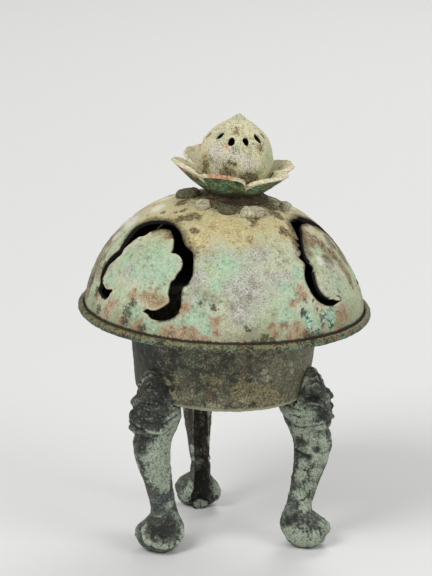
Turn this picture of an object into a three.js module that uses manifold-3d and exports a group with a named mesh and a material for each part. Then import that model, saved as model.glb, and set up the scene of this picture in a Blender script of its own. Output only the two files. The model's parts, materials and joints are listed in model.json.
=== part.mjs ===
// Tripod incense burner in cast bronze, millimetres, +Z up.
// Origin: centre of the rim circle, at the height of the soles.
// A compass angle is 0 towards the front (-Y) and grows towards +X.
import * as THREE from 'three';
import { mergeVertices } from 'three/addons/utils/BufferGeometryUtils.js';
import Module from 'manifold-3d';

const wasm = await Module();
wasm.setup();

// Gap between pieces that touch
const seatGap = 0.3;

// Bowl
const bowlStand = 77.5; // soles to the underside of the floor
const bowlDepth = 38.4; // underside of the floor to the underside of the pan
const bowlBottomRadius = 43.8;
const bowlMouthRadius = 47.6;
const bowlCorner = 2.5;
const bowlWall = 2.4;
const bowlFloor = 2.6;

// Flat pan around the mouth, and the turned-up lip at its edge
const panThickness = 2.7;
const panUndersideRise = 1.2;
const lipRadius = 73.4;
const lipHeight = 3.7;
const lipWall = 3;

// Cover
const coverPlay = 0.4; // between the cover's edge and the lip
const coverSkirt = 0.8;
const coverHeight = 57.9;
const coverWall = 2;
const coverLean = -2.5; // how far the crown stands to one side of the rim's centre, along +X
const coverShoulder = 1.63; // exponents of the rounded profile
const coverCrown = 2.29;

// Cloud slots in the cover, each cut by hand a little differently
const slotAngles = [-44, 73.5, 195]; // degrees
const slotFeet = [11.9, 16.2, 14]; // cover's edge to the lowest point of the band's middle
const slotCrown = 48.7; // cover's edge to its highest point
const slotHalfWidth = 28.5;
const slotBand = 6.6;

// Legs
const legAngles = [-44.5, 71.5, 195]; // degrees: left, right and rear
const legSplay = [-6.5, 0.5, -7]; // how far each foot is bent outwards
const legReach = 14; // how far the leg stands out from the bowl's bottom edge
const kneeShare = 0.7; // share of the leg's height, above which the splay stops
const maskRise = 15.5; // mask top above the bowl's underside
const channelWidth = 7;
const channelHeelWidth = 13;
const channelDepth = 7;
const channelBottom = 3; // the sole's thickness below the hollow heel
const channelTop = 58;

// Rivets that hold each leg
const rivetRadius = 1.3;
const rivetHeadRadius = 2.6;
const rivetHeadHeight = 1.2;
const rivetReach = 3.2; // shank length inside the leg

// Finial
const finialShift = 3; // along +X from the rim's centre
const tubeRadius = 5;
const tubeBore = 3.4;
const flangeRadius = 7.2;
const flangeThickness = 1.3;
const washerRadius = 10;
const washerThickness = 1.2;
const collarRadius = 17;
const collarTopRadius = 12.5;
const collarHeight = 2.4; // above the cover's crown
const calyxThickness = 1.5;
const petalFirstAngle = -15; // degrees
const petalRadii = [30.3, 31, 28.8, 29.5, 30.5, 31.2]; // tips, counterclockwise from the front one
const petalHeights = [15, 12.2, 12.4, 14, 16, 15.4];
const valleyRadius = 19.8;
const valleyHeights = [7.4, 5.4, 10, 9, 9, 8.5]; // each on the clockwise side of its petal
const budRadius = 18.5;
const budHeight = 36.6;
const budWall = 1.8;
const ventCount = 12;
const ventFirstAngle = -11; // degrees
const ventWidth = 3.3;
const ventHeight = 4.3;
const ventShare = 0.7; // share of the bud's height
const ventTilt = 30; // degrees above level, square to the bud's face

// Cast pads around the finial's foot
const padRise = 2.8;
const padPlaces = [ // angle and distance from the finial, then length around it and width
  [20, 24.2, 15, 8.5], [-10, 24, 11, 7], [-38, 24, 8.5, 9],
  [80, 25, 8, 7], [-88, 25.5, 13, 8], [160, 24, 9, 7],
];

// Heights and radii that follow from them
const panUnderside = bowlStand + bowlDepth;
const panTop = panUnderside + panThickness;
const coverBase = panTop + seatGap;
const coverSpring = coverBase + coverSkirt;
const coverTop = coverSpring + coverHeight;
const coverRadius = lipRadius - lipWall - coverPlay;
const legHeight = bowlStand + maskRise;
const collarTop = coverTop + collarHeight;
const calyxBase = collarTop + seatGap;
const budBase = calyxBase + calyxThickness + seatGap;

// Facets
const roundSteps = 48;
const tubeSteps = 24;
const rivetSteps = 12;
const formSteps = 10;
const ventSteps = 8;

const radians = THREE.MathUtils.degToRad;
const { lerp } = THREE.MathUtils;

function compass(angle, radius, z) {
  const turn = radians(angle);
  return new THREE.Vector3(radius * Math.sin(turn), -radius * Math.cos(turn), z);
}

// Shares the vertices that coincide and drops the triangles that have no area.
function welded(geometry) {
  const bare = geometry.clone();
  bare.deleteAttribute('normal');
  bare.deleteAttribute('uv');
  const merged = mergeVertices(bare, 1e-4);
  const corners = merged.index.array;
  const kept = [];
  for (let i = 0; i < corners.length; i += 3) {
    const [a, b, c] = [corners[i], corners[i + 1], corners[i + 2]];
    if (a !== b && b !== c && c !== a) kept.push(a, b, c);
  }
  merged.setIndex(kept);
  return merged;
}

function toSolid(geometry) {
  const shape = geometry.hasAttribute('normal') ? welded(geometry) : geometry;
  return new wasm.Manifold(new wasm.Mesh({
    numProp: 3,
    vertProperties: new Float32Array(shape.attributes.position.array),
    triVerts: new Uint32Array(shape.index.array),
  }));
}

function toGeometry(solid) {
  const mesh = solid.getMesh();
  return fromCorners(mesh.vertProperties, mesh.triVerts);
}

function fromCorners(corners, triangles) {
  const geometry = new THREE.BufferGeometry();
  geometry.setAttribute('position', new THREE.BufferAttribute(new Float32Array(corners), 3));
  geometry.setIndex(new THREE.BufferAttribute(new Uint32Array(triangles), 1));
  return geometry;
}

function cut(base, ...tools) {
  return toGeometry(tools.reduce((solid, tool) => solid.subtract(toSolid(tool)), toSolid(base)));
}

function joined(base, ...others) {
  return toGeometry(others.reduce((solid, other) => solid.add(toSolid(other)), toSolid(base)));
}

// Turns a profile of [radius, height] points about the upright axis.
function turned(profile, steps = roundSteps) {
  const points = profile.map(([radius, z]) => new THREE.Vector2(radius, z));
  if (THREE.ShapeUtils.isClockWise(points)) points.reverse();
  return new THREE.LatheGeometry(points, steps).rotateX(Math.PI / 2);
}

function upright(radius, bottom, top, steps = tubeSteps) {
  return turned([[0, bottom], [radius, bottom], [radius, top], [0, top]], steps);
}

// Moves an open profile to its left side by a distance.
function inset(profile, distance) {
  return profile.map((point, i) => {
    const before = profile[Math.max(i - 1, 0)];
    const after = profile[Math.min(i + 1, profile.length - 1)];
    const along = [after[0] - before[0], after[1] - before[1]];
    const size = Math.hypot(...along);
    return [point[0] - distance * along[1] / size, point[1] + distance * along[0] / size];
  });
}

// Closes rings of points, with the same count in each, into one solid with flat ends.
function lofted(rings) {
  const count = rings[0].length;
  const triangles = [];
  for (let row = 0; row < rings.length - 1; row += 1) {
    for (let i = 0; i < count; i += 1) {
      const a = row * count + i;
      const b = row * count + (i + 1) % count;
      triangles.push(a, b, b + count, a, b + count, a + count);
    }
  }
  const last = (rings.length - 1) * count;
  for (let i = 1; i < count - 1; i += 1) {
    triangles.push(0, i + 1, i);
    triangles.push(last, last + i, last + i + 1);
  }
  return fromCorners(rings.flat().flatMap((point) => point.toArray()), triangles);
}

// Joins closed loops of points, set around an axis, into one ring-shaped solid.
function looped(loops) {
  const count = loops[0].length;
  const triangles = [];
  loops.forEach((loop, row) => {
    const next = ((row + 1) % loops.length) * count;
    for (let i = 0; i < count; i += 1) {
      const j = (i + 1) % count;
      triangles.push(row * count + i, next + i, next + j);
      triangles.push(row * count + i, next + j, row * count + j);
    }
  });
  return fromCorners(loops.flat().flatMap((point) => point.toArray()), triangles);
}

function ellipsoid(sizes, steps = formSteps) {
  return new THREE.SphereGeometry(1, steps, Math.round(steps * 0.75)).scale(...sizes);
}

// Bowl, with its pan and lip
function bowlOutline(grow) {
  const points = [[0, bowlStand - grow]];
  const cornerSteps = 4;
  for (let i = 0; i <= cornerSteps; i += 1) {
    const turn = (i / cornerSteps) * Math.PI / 2;
    points.push([
      bowlBottomRadius - bowlCorner + (bowlCorner + grow) * Math.sin(turn),
      bowlStand + bowlCorner - (bowlCorner + grow) * Math.cos(turn),
    ]);
  }
  points.push([bowlMouthRadius + grow, panUnderside]);
  return points;
}

function bowlShell() {
  const lipFoot = panUnderside + panUndersideRise;
  const lipTop = lipFoot + lipHeight;
  const lipInner = lipRadius - lipWall;
  const innerMouth = bowlMouthRadius - bowlWall;
  const innerBottom = bowlBottomRadius - bowlWall;
  const floorTop = bowlStand + bowlFloor;
  const lip = [
    [lipInner, lipFoot],
    [lipRadius - lipWall * 0.35, lipFoot + lipHeight * 0.03],
    [lipRadius - lipWall * 0.08, lipFoot + lipHeight * 0.2],
    [lipRadius, lipFoot + lipHeight * 0.45],
    [lipRadius - lipWall * 0.08, lipFoot + lipHeight * 0.72],
    [lipRadius - lipWall * 0.3, lipFoot + lipHeight * 0.92],
    [lipRadius - lipWall * 0.55, lipTop],
    [lipInner + lipWall * 0.1, lipTop],
    [lipInner, lipTop - lipHeight * 0.08],
    [lipInner, panTop],
  ];
  const inside = [
    [innerMouth + bowlCorner, panTop],
    [innerMouth, panTop - panThickness * 0.6],
    [innerBottom, floorTop + bowlCorner],
    [innerBottom - bowlCorner * 0.3, floorTop + bowlCorner * 0.3],
    [innerBottom - bowlCorner, floorTop],
    [0, floorTop],
  ];
  return turned([...bowlOutline(0), [bowlMouthRadius + bowlCorner, panUnderside], ...lip, ...inside]);
}

// Cover
function coverOutline() {
  const steps = 11;
  const points = [[coverRadius, coverBase]];
  for (let i = 0; i < steps; i += 1) {
    const turn = (i / steps) * Math.PI / 2;
    points.push([
      coverRadius * Math.cos(turn) ** (2 / coverCrown),
      coverSpring + coverHeight * Math.sin(turn) ** (2 / coverShoulder),
    ]);
  }
  points.push([0, coverTop]);
  return points;
}

// Slides the cover's crown to one side, its edge staying where it is.
function leaned(geometry) {
  const slope = coverLean / (coverTop - coverBase);
  const shear = new THREE.Matrix4().set(
    1, 0, slope, -slope * coverBase,
    0, 1, 0, 0,
    0, 0, 1, 0,
    0, 0, 0, 1,
  );
  return geometry.applyMatrix4(shear);
}

// The space that the cover fills, without its hollow
function coverSpace(grow) {
  const outline = inset(coverOutline(), -grow);
  outline[outline.length - 1] = [0, coverTop + grow];
  return leaned(turned([[0, coverBase], ...outline]));
}

function coverRadiusAt(z) {
  const share = THREE.MathUtils.clamp((z - coverSpring) / coverHeight, 0, 1);
  return coverRadius * (1 - share ** coverShoulder) ** (1 / coverCrown);
}

function coverHeightAt(x, y) {
  let z = coverTop;
  for (let i = 0; i < 4; i += 1) {
    const centre = coverLean * (z - coverBase) / (coverTop - coverBase);
    const share = Math.min(Math.hypot(x - centre, y) / coverRadius, 1);
    z = coverSpring + coverHeight * (1 - share ** coverCrown) ** (1 / coverShoulder);
  }
  return z;
}

// Half of the cloud's centre line, from its crown to the tip of its hook:
// shares of the half width, of the height and of the band's width
const cloudHalf = [
  [0, 1, 0.5], [0.22, 0.97, 0.55], [0.44, 0.87, 0.75], [0.62, 0.77, 0.75], [0.82, 0.7, 0.9],
  [0.95, 0.55, 1.15], [0.92, 0.42, 1.1], [0.94, 0.3, 1], [1, 0.17, 1.05], [0.9, 0.06, 0.9],
  [0.72, 0.01, 0.75], [0.56, 0.03, 0.55], [0.48, 0.07, 0.3],
];

// A slot's edge on the unrolled cover, counterclockwise
function cloudEdge(foot) {
  const right = cloudHalf.map(([u, v, w]) => new THREE.Vector3(
    u * slotHalfWidth, lerp(foot, slotCrown, v), w * slotBand / 2));
  const left = right.slice(1).reverse().map((p) => new THREE.Vector3(-p.x, p.y, p.z));
  const line = new THREE.CatmullRomCurve3([...left, ...right]);
  const steps = 32;
  const near = [];
  const far = [];
  for (let i = 0; i <= steps; i += 1) {
    const point = line.getPoint(i / steps);
    const along = line.getTangent(i / steps);
    const size = Math.hypot(along.x, along.y);
    const across = [-along.y / size * point.z, along.x / size * point.z];
    near.push(new THREE.Vector2(point.x + across[0], point.y + across[1]));
    far.push(new THREE.Vector2(point.x - across[0], point.y - across[1]));
  }
  const edge = [...near, ...far.reverse()];
  return THREE.ShapeUtils.isClockWise(edge) ? edge.reverse() : edge;
}

function slotCutter(angle, foot) {
  const edge = cloudEdge(foot);
  const reach = coverWall * 2;
  const rise = coverHeight / 500; // small step that gives the slope
  const place = (point, depth) => {
    const z = coverBase + point.y;
    const radius = coverRadiusAt(z);
    const slope = (coverRadiusAt(z - rise) - coverRadiusAt(z + rise)) / (2 * rise);
    const steep = Math.hypot(1, slope);
    const turn = angle + THREE.MathUtils.radToDeg(point.x / radius);
    return compass(turn, radius + depth / steep, z + depth * slope / steep);
  };
  const corners = [-reach, reach].flatMap((depth) => edge.map((point) => place(point, depth)));
  const count = edge.length;
  const triangles = [];
  for (const [a, b, c] of THREE.ShapeUtils.triangulateShape(edge, [])) {
    triangles.push(a + count, b + count, c + count);
    triangles.push(a, c, b);
  }
  for (let i = 0; i < count; i += 1) {
    const j = (i + 1) % count;
    triangles.push(i, j, j + count, i, j + count, i + count);
  }
  return leaned(fromCorners(corners.flatMap((point) => point.toArray()), triangles));
}

function cover() {
  const outside = coverOutline();
  const inside = inset(outside, coverWall);
  inside[0] = [coverRadius - coverWall, coverBase];
  inside[inside.length - 1] = [0, coverTop - coverWall];
  const shell = leaned(turned([...outside, ...inside.reverse(), outside[0]]));
  const slots = slotAngles.map((angle, i) => slotCutter(angle, slotFeet[i]));
  const passage = upright(tubeRadius + seatGap, coverTop - coverWall * 3, coverTop + coverWall);
  return cut(shell, ...slots, passage.translate(finialShift, 0, 0));
}

// Legs: stations from the sole to the mask's top, as a share of the leg's height, then the inner
// and outer edge measured from the bowl's bottom edge and the half width, as shares of the reach
const legStations = [
  [0, -0.1, 0.62, 0.5], [0.019, -0.32, 0.8, 0.64], [0.043, -0.48, 0.95, 0.74],
  [0.075, -0.64, 1.05, 0.8], [0.107, -0.73, 1.06, 0.8], [0.134, -0.75, 0.96, 0.72],
  [0.16, -0.73, 0.7, 0.58], [0.193, -0.68, 0.42, 0.43], [0.23, -0.63, 0.42, 0.37],
  [0.283, -0.55, 0.48, 0.37], [0.348, -0.47, 0.6, 0.4], [0.428, -0.37, 0.77, 0.46],
  [0.503, -0.32, 0.95, 0.52], [0.578, -0.34, 1.06, 0.55], [0.626, -0.41, 1.05, 0.57],
  [0.667, -0.53, 0.91, 0.61], [0.706, -0.69, 1, 0.69], [0.759, -0.81, 1.01, 0.73],
  [0.807, -0.79, 1.01, 0.73], [0.845, -0.57, 0.91, 0.7], [0.888, -0.43, 0.71, 0.64],
  [0.93, -0.29, 0.59, 0.56], [0.963, -0.21, 0.5, 0.46], [0.987, -0.14, 0.4, 0.33],
  [1, -0.07, 0.29, 0.17],
];

// Raised forms of the lion mask and the paw: share of the height, then, as shares of the reach,
// the distance out from the bowl's bottom edge and sideways, and the half sizes out, sideways and up
const nose = [0.745, 0.66, 0, 0.4, 0.32, 0.28];
const forelock = [0.92, 0.4, 0, 0.24, 0.2, 0.45];
const brow = [0.845, 0.58, 0.32, 0.44, 0.4, 0.24];
const eye = [0.787, 0.72, 0.36, 0.3, 0.28, 0.18];
const cheek = [0.716, 0.5, 0.4, 0.54, 0.34, 0.24];
const jowl = [0.77, -0.2, 0.44, 0.42, 0.32, 0.3];
const innerToe = [0.095, 0.7, 0.24, 0.4, 0.23, 0.34];
const outerToe = [0.088, 0.44, 0.54, 0.42, 0.25, 0.33];
const pairedForms = [brow, eye, cheek, jowl, innerToe, outerToe];

function splayAt(share, splay) {
  return splay * Math.max(0, 1 - share / kneeShare);
}

function legForm(splay) {
  const steps = 14;
  const soften = (value) => Math.sign(value) * Math.abs(value) ** 0.85;
  const rings = legStations.map(([share, near, far, half]) => {
    const middle = bowlBottomRadius + splayAt(share, splay) + legReach * (near + far) / 2;
    return Array.from({ length: steps }, (_, i) => {
      const turn = (i / steps) * Math.PI * 2;
      const out = middle + soften(Math.cos(turn)) * legReach * (far - near) / 2;
      return new THREE.Vector3(out, soften(Math.sin(turn)) * legReach * half, share * legHeight);
    });
  });
  const mirrored = pairedForms.map(([share, out, side, ...sizes]) => [share, out, -side, ...sizes]);
  const forms = [nose, forelock, ...pairedForms, ...mirrored].map(([share, out, side, ...sizes]) => {
    const place = bowlBottomRadius + splayAt(share, splay) + legReach * out;
    return ellipsoid(sizes.map((size) => legReach * size))
      .translate(place, legReach * side, share * legHeight);
  });
  return joined(lofted(rings), ...forms);
}

// Inner edge of the leg at a height
function legBackAt(z, splay) {
  const share = z / legHeight;
  const above = legStations.findIndex((station) => station[0] >= share);
  const [low, high] = [legStations[above - 1], legStations[above]];
  const edge = THREE.MathUtils.mapLinear(share, low[0], high[0], low[1], high[1]);
  return bowlBottomRadius + splayAt(share, splay) + legReach * edge;
}

// Open channel up the back of the leg, shallow at both ends and wider in the heel
function channelCutter(splay) {
  const steps = 8;
  const rings = Array.from({ length: steps + 1 }, (_, i) => {
    const z = lerp(channelBottom, channelTop, i / steps);
    const half = lerp(channelHeelWidth, channelWidth, Math.min(i / 2, 1)) / 2;
    const back = legBackAt(z, splay);
    const depth = channelDepth * (i === 0 || i === steps ? 0.35 : 1);
    const section = [
      [-channelDepth, -half * 1.4], [depth * 0.7, -half], [depth, -half * 0.4],
      [depth, half * 0.4], [depth * 0.7, half], [-channelDepth, half * 1.4],
    ];
    return section.map(([out, side]) => new THREE.Vector3(back + out, side, z));
  });
  return lofted(rings);
}

// Rivets, upright, with the seat of the head at height 0
function rivet(length) {
  return turned([
    [0, -rivetHeadHeight], [rivetHeadRadius * 0.6, -rivetHeadHeight * 0.8],
    [rivetHeadRadius, -rivetHeadHeight * 0.15], [rivetHeadRadius, 0],
    [rivetRadius, 0], [rivetRadius, length], [0, length],
  ], rivetSteps);
}

function rivetBore(length) {
  return upright(rivetRadius + seatGap, -rivetHeadHeight, length + seatGap, rivetSteps);
}

const headClearance = bowlCorner + rivetHeadRadius + seatGap; // clear of the inner corner
const wallRivetHeight = bowlStand + bowlFloor + headClearance;
const wallRivetOuter = lerp(bowlBottomRadius, bowlMouthRadius, (wallRivetHeight - bowlStand) / bowlDepth);
const headHollow = rivetHeadRadius ** 2 / (2 * bowlBottomRadius); // the wall's hollow across the head
const wallRivetSeat = bowlBottomRadius - bowlWall - seatGap - headHollow;
const wallRivetLength = wallRivetOuter + rivetReach - wallRivetSeat;
const floorRivetCircle = bowlBottomRadius - bowlWall - headClearance;
const floorRivetSeat = bowlStand + bowlFloor + seatGap;
const floorRivetLength = floorRivetSeat - bowlStand + rivetReach;

function inWall(geometry) {
  return geometry.rotateY(Math.PI / 2).translate(wallRivetSeat, 0, wallRivetHeight);
}

function inFloor(geometry) {
  return geometry.rotateX(Math.PI).translate(floorRivetCircle, 0, floorRivetSeat);
}

function leg(splay) {
  const bowlSpace = turned([...bowlOutline(seatGap), [0, panUnderside]]);
  return cut(
    legForm(splay),
    bowlSpace,
    channelCutter(splay),
    inWall(rivetBore(wallRivetLength)),
    inFloor(rivetBore(floorRivetLength)),
  );
}

function legTurn(i) {
  return radians(legAngles[i] - 90);
}

function bowl() {
  const bores = legAngles.flatMap((_, i) => [
    inWall(rivetBore(wallRivetLength)).rotateZ(legTurn(i)),
    inFloor(rivetBore(floorRivetLength)).rotateZ(legTurn(i)),
  ]);
  return cut(bowlShell(), ...bores);
}

// Finial: washer and tube below; collar, calyx and hollow bud above
const washerFarSide = Math.abs(finialShift - coverLean) + washerRadius;
const washerTop = coverHeightAt(coverLean + washerFarSide, 0) - coverWall - seatGap;
const tubeBottom = washerTop - washerThickness - seatGap;
const tubeTop = budBase + budWall + seatGap;

function washer() {
  const hole = tubeRadius + seatGap;
  const bottom = washerTop - washerThickness;
  return turned([
    [hole, bottom], [washerRadius, bottom], [washerRadius, washerTop], [hole, washerTop], [hole, bottom],
  ], tubeSteps);
}

function tube() {
  const bottom = tubeBottom - flangeThickness;
  const top = tubeTop + flangeThickness;
  return turned([
    [tubeBore, bottom], [flangeRadius, bottom], [flangeRadius, tubeBottom], [tubeRadius, tubeBottom],
    [tubeRadius, tubeTop], [flangeRadius, tubeTop], [flangeRadius, top], [tubeBore, top],
    [tubeBore, bottom],
  ], tubeSteps);
}

// The collar's space, from well inside the cover to its flat top
function collarSpace(grow, hole) {
  const bottom = coverTop - collarRadius / 2;
  const waist = (collarRadius + collarTopRadius) / 2;
  const profile = [
    [hole, bottom], [collarRadius + grow, bottom], [collarRadius + grow, coverTop - collarHeight / 2],
    [waist + grow, collarTop - collarHeight * 0.85 + grow], [collarTopRadius, collarTop + grow],
    [hole, collarTop + grow],
  ];
  if (hole > 0) profile.push([hole, bottom]);
  return turned(profile, 32).translate(finialShift, 0, 0);
}

function collar() {
  return cut(collarSpace(0, tubeRadius + seatGap), coverSpace(seatGap));
}

// Reach and height of the calyx's edge at an angle: rounded petals between sharp valleys
function petalEdge(angle) {
  const count = petalRadii.length;
  const steps = (angle - petalFirstAngle) * count / 360 + count + 0.5;
  const petal = Math.floor(steps) % count;
  const across = (steps % 1) * 2 - 1;
  const fullness = (1 - Math.abs(across) ** 2.4) ** 0.75;
  const valley = valleyHeights[across < 0 ? petal : (petal + 1) % count];
  return [
    lerp(valleyRadius, petalRadii[petal], fullness),
    lerp(valley, petalHeights[petal], fullness),
  ];
}

function calyx() {
  const around = 72;
  const across = 5;
  const hole = tubeRadius + seatGap;
  const loops = Array.from({ length: around }, (_, i) => {
    const angle = petalFirstAngle + i * 360 / around;
    const [edge, rise] = petalEdge(angle);
    const under = [];
    for (let j = 0; j <= across; j += 1) {
      const radius = lerp(hole, edge, j / across);
      const share = Math.max(0, (radius - collarTopRadius) / (edge - collarTopRadius));
      under.push([radius, calyxBase + rise * share ** 1.25]);
    }
    const upper = inset(under, calyxThickness).reverse();
    upper[upper.length - 1][0] = hole;
    return [...under, ...upper].map(([radius, z]) => compass(angle, radius, z));
  });
  return looped(loops);
}

// Bud profile from the foot to the tip, as shares of its radius and height
const budShape = [[0.42, 0], [0.7, 0.06], [0.88, 0.16], [0.98, 0.28], [1, 0.385], [0.95, 0.53],
  [0.84, 0.66], [0.66, 0.765], [0.42, 0.86], [0.2, 0.932], [0.07, 0.983], [0, 1]];

function bud() {
  const curve = new THREE.SplineCurve(budShape.map(([radius, z]) => new THREE.Vector2(
    radius * budRadius, budBase + z * budHeight)));
  const outside = curve.getPoints(14).map((point) => [Math.max(point.x, 0), point.y]);
  const inside = inset(outside, budWall).filter((point) => point[0] > budWall / 2);
  inside[0] = [outside[0][0], budBase + budWall];
  inside.push([0, inside[inside.length - 1][1] + budWall / 4]);
  const shell = turned([[0, budBase], ...outside, ...inside.reverse(), [0, budBase + budWall]], 30);
  const passage = upright(tubeRadius + seatGap, budBase - budWall, budBase + budWall * 2);
  const ventZ = budBase + ventShare * budHeight;
  const above = outside.findIndex((point) => point[1] >= ventZ);
  const vents = Array.from({ length: ventCount }, (_, i) => new THREE
    .CylinderGeometry(ventWidth / 2, ventWidth / 2, budWall * 6, ventSteps)
    .scale(1, 1, ventHeight / ventWidth)
    .rotateX(-radians(ventTilt))
    .translate(0, -outside[above][0], ventZ)
    .rotateZ(radians(ventFirstAngle + i * 360 / ventCount)));
  return cut(shell, passage, ...vents);
}

function pad([angle, distance, length, width]) {
  const centre = compass(angle, distance, 0);
  const z = coverHeightAt(centre.x + finialShift, centre.y);
  const form = ellipsoid([length / 2, width / 2, padRise * 2])
    .rotateZ(radians(angle))
    .translate(centre.x + finialShift, centre.y, z - padRise);
  return cut(form, coverSpace(seatGap), collarSpace(seatGap, 0));
}

// Finishes
function finish(color, roughness, metalness) {
  return new THREE.MeshStandardMaterial({ color, roughness, metalness });
}

const darkBronze = finish(0x4d4a3c, 0.65, 0.6);
const legBronze = finish(0x5d685c, 0.7, 0.4);
const paleGreen = finish(0xa3ab8a, 0.85, 0.15);
const creamGreen = finish(0xc3bc9c, 0.85, 0.1);
const leafGreen = finish(0x7fa083, 0.85, 0.1);
const brownStain = finish(0x3b3128, 0.8, 0.2);
const paleGrey = finish(0xb3ad94, 0.85, 0.1);

const group = new THREE.Group();

function add(name, geometry, material) {
  const mesh = new THREE.Mesh(geometry, material);
  mesh.name = name;
  group.add(mesh);
  return mesh;
}

add('bowl', bowl(), darkBronze);
['left', 'right', 'rear'].forEach((side, i) => {
  const turn = legTurn(i);
  add(`leg_${side}`, leg(legSplay[i]), legBronze).rotation.z = turn;
  add(`leg_${side}_wall_rivet`, inWall(rivet(wallRivetLength)), darkBronze).rotation.z = turn;
  add(`leg_${side}_floor_rivet`, inFloor(rivet(floorRivetLength)), darkBronze).rotation.z = turn;
});
add('cover', cover(), paleGreen);
add('finial_washer', washer(), brownStain).position.x = finialShift;
add('finial_tube', tube(), brownStain).position.x = finialShift;
add('finial_collar', collar(), brownStain);
add('calyx', calyx(), leafGreen).position.x = finialShift;
add('bud', bud(), creamGreen).position.x = finialShift;
padPlaces.forEach((place, i) => add(`foot_pad_${i + 1}`, pad(place), paleGrey));

export default group;
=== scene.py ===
import json
import math

import bpy
import numpy as np
from mathutils import Matrix, Vector
from mathutils.bvhtree import BVHTree
from mathutils.kdtree import KDTree


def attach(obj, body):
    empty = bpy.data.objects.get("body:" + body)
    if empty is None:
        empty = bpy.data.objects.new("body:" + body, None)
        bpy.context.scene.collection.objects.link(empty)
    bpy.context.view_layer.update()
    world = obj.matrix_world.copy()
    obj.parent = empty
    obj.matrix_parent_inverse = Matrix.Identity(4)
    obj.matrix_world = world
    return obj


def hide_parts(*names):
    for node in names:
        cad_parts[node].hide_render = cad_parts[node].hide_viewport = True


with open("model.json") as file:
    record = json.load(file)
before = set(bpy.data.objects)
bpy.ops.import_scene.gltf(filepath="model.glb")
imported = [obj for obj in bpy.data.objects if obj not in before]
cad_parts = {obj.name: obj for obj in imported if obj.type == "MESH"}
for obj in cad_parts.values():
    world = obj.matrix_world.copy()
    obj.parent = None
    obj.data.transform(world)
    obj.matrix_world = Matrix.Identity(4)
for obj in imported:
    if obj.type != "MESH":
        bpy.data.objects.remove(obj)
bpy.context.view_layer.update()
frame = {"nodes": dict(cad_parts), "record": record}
print("frame loaded:", len(frame["nodes"]), "nodes")

mm = 0.001

# where the photograph was taken from
cameraValues = {
    "distance": 1.6,  # metres from the aim point
    "elevation": 15.83,  # degrees above the table
    "roll": 2.01,  # degrees, the right side hangs lower
    "aim": (-0.00454, 0.0, 0.12886),
    "lens": 199.8,  # millimetres, on a 36 mm sensor along the long side
}


def addCamera(values):
    cameraData = bpy.data.cameras.new("photoCamera")
    cameraData.sensor_fit = "VERTICAL"
    cameraData.sensor_height = 36
    cameraData.lens = values["lens"]
    cameraData.clip_end = 20
    cameraObject = bpy.data.objects.new("photoCamera", cameraData)
    bpy.context.collection.objects.link(cameraObject)
    tilt = math.radians(values["elevation"])
    back = Vector((0, -math.cos(tilt), math.sin(tilt)))
    cameraObject.location = Vector(values["aim"]) + back * values["distance"]
    look = Matrix.Rotation(math.pi / 2 - tilt, 4, "X")
    turn = Matrix.Rotation(math.radians(values["roll"]), 4, "Z")
    cameraObject.rotation_euler = (look @ turn).to_euler()
    bpy.context.scene.camera = cameraObject


addCamera(cameraValues)


# picking, drawing and finishing by operators, all lengths in millimetres
def only(piece):
    bpy.ops.object.select_all(action="DESELECT")
    piece.select_set(True)
    bpy.context.view_layer.objects.active = piece


def drawLine(name, points):
    bpy.ops.object.select_all(action="DESELECT")
    bpy.ops.mesh.primitive_plane_add(size=mm)
    piece = bpy.context.object
    piece.name = name
    piece.data.name = name
    bpy.ops.object.mode_set(mode="EDIT")
    bpy.ops.mesh.select_mode(type="VERT")
    bpy.ops.mesh.select_all(action="SELECT")
    bpy.ops.mesh.merge(type="CENTER")
    last = Vector(points[0]) * mm
    bpy.ops.transform.translate(value=last)
    for point in points[1:]:
        place = Vector(point) * mm
        bpy.ops.mesh.extrude_region_move(TRANSFORM_OT_translate={"value": place - last})
        last = place
    return piece  # still in edit mode, with its last point selected


def spunPiece(name, profile, steps):
    piece = drawLine(name, [(radius, 0, z) for radius, z in profile])
    bpy.ops.mesh.select_all(action="SELECT")
    bpy.ops.mesh.spin(steps=steps, angle=2 * math.pi, center=(0, 0, 0), axis=(0, 0, 1), use_auto_merge=True)
    bpy.ops.mesh.select_all(action="SELECT")
    bpy.ops.mesh.remove_doubles(threshold=0.02 * mm)
    bpy.ops.mesh.normals_make_consistent(inside=False)
    bpy.ops.object.mode_set(mode="OBJECT")
    return piece


def faceOut(piece):
    only(piece)
    bpy.ops.object.mode_set(mode="EDIT")
    bpy.ops.mesh.select_all(action="SELECT")
    bpy.ops.mesh.normals_make_consistent(inside=False)
    bpy.ops.object.mode_set(mode="OBJECT")


def applyModifier(piece, kind, **settings):
    only(piece)
    modifier = piece.modifiers.new(kind.lower(), kind)
    for key, value in settings.items():
        setattr(modifier, key, value)
    bpy.ops.object.modifier_apply(modifier=modifier.name)


def roughen(piece, size, depth, weights=None):  # bumps as large as size and about depth high
    texture = bpy.data.textures.new(piece.name + "Rough", "CLOUDS")
    texture.noise_scale = size * mm
    texture.noise_depth = 4
    settings = {"texture": texture, "texture_coords": "LOCAL", "mid_level": 0.5, "strength": depth * mm}
    if weights is not None:
        group = piece.vertex_groups.new(name="rough")
        for index in np.nonzero(weights > 0.02)[0]:
            group.add([int(index)], float(min(weights[index], 1)), "REPLACE")
        settings["vertex_group"] = "rough"
    applyModifier(piece, "DISPLACE", **settings)
    if weights is not None:
        piece.vertex_groups.remove(piece.vertex_groups["rough"])


def cutAway(piece, cutter):
    applyModifier(piece, "BOOLEAN", operation="DIFFERENCE", solver="EXACT", object=cutter)
    bpy.data.objects.remove(cutter)


def smoothShaded(piece, degrees):
    only(piece)
    bpy.ops.object.shade_smooth_by_angle(angle=math.radians(degrees))


def pointsOf(piece):
    flat = np.empty(len(piece.data.vertices) * 3)
    piece.data.vertices.foreach_get("co", flat)
    return flat.reshape(-1, 3) / mm


def normalsOf(piece):
    flat = np.empty(len(piece.data.vertices) * 3)
    piece.data.vertex_normals.foreach_get("vector", flat)
    return flat.reshape(-1, 3)


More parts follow.
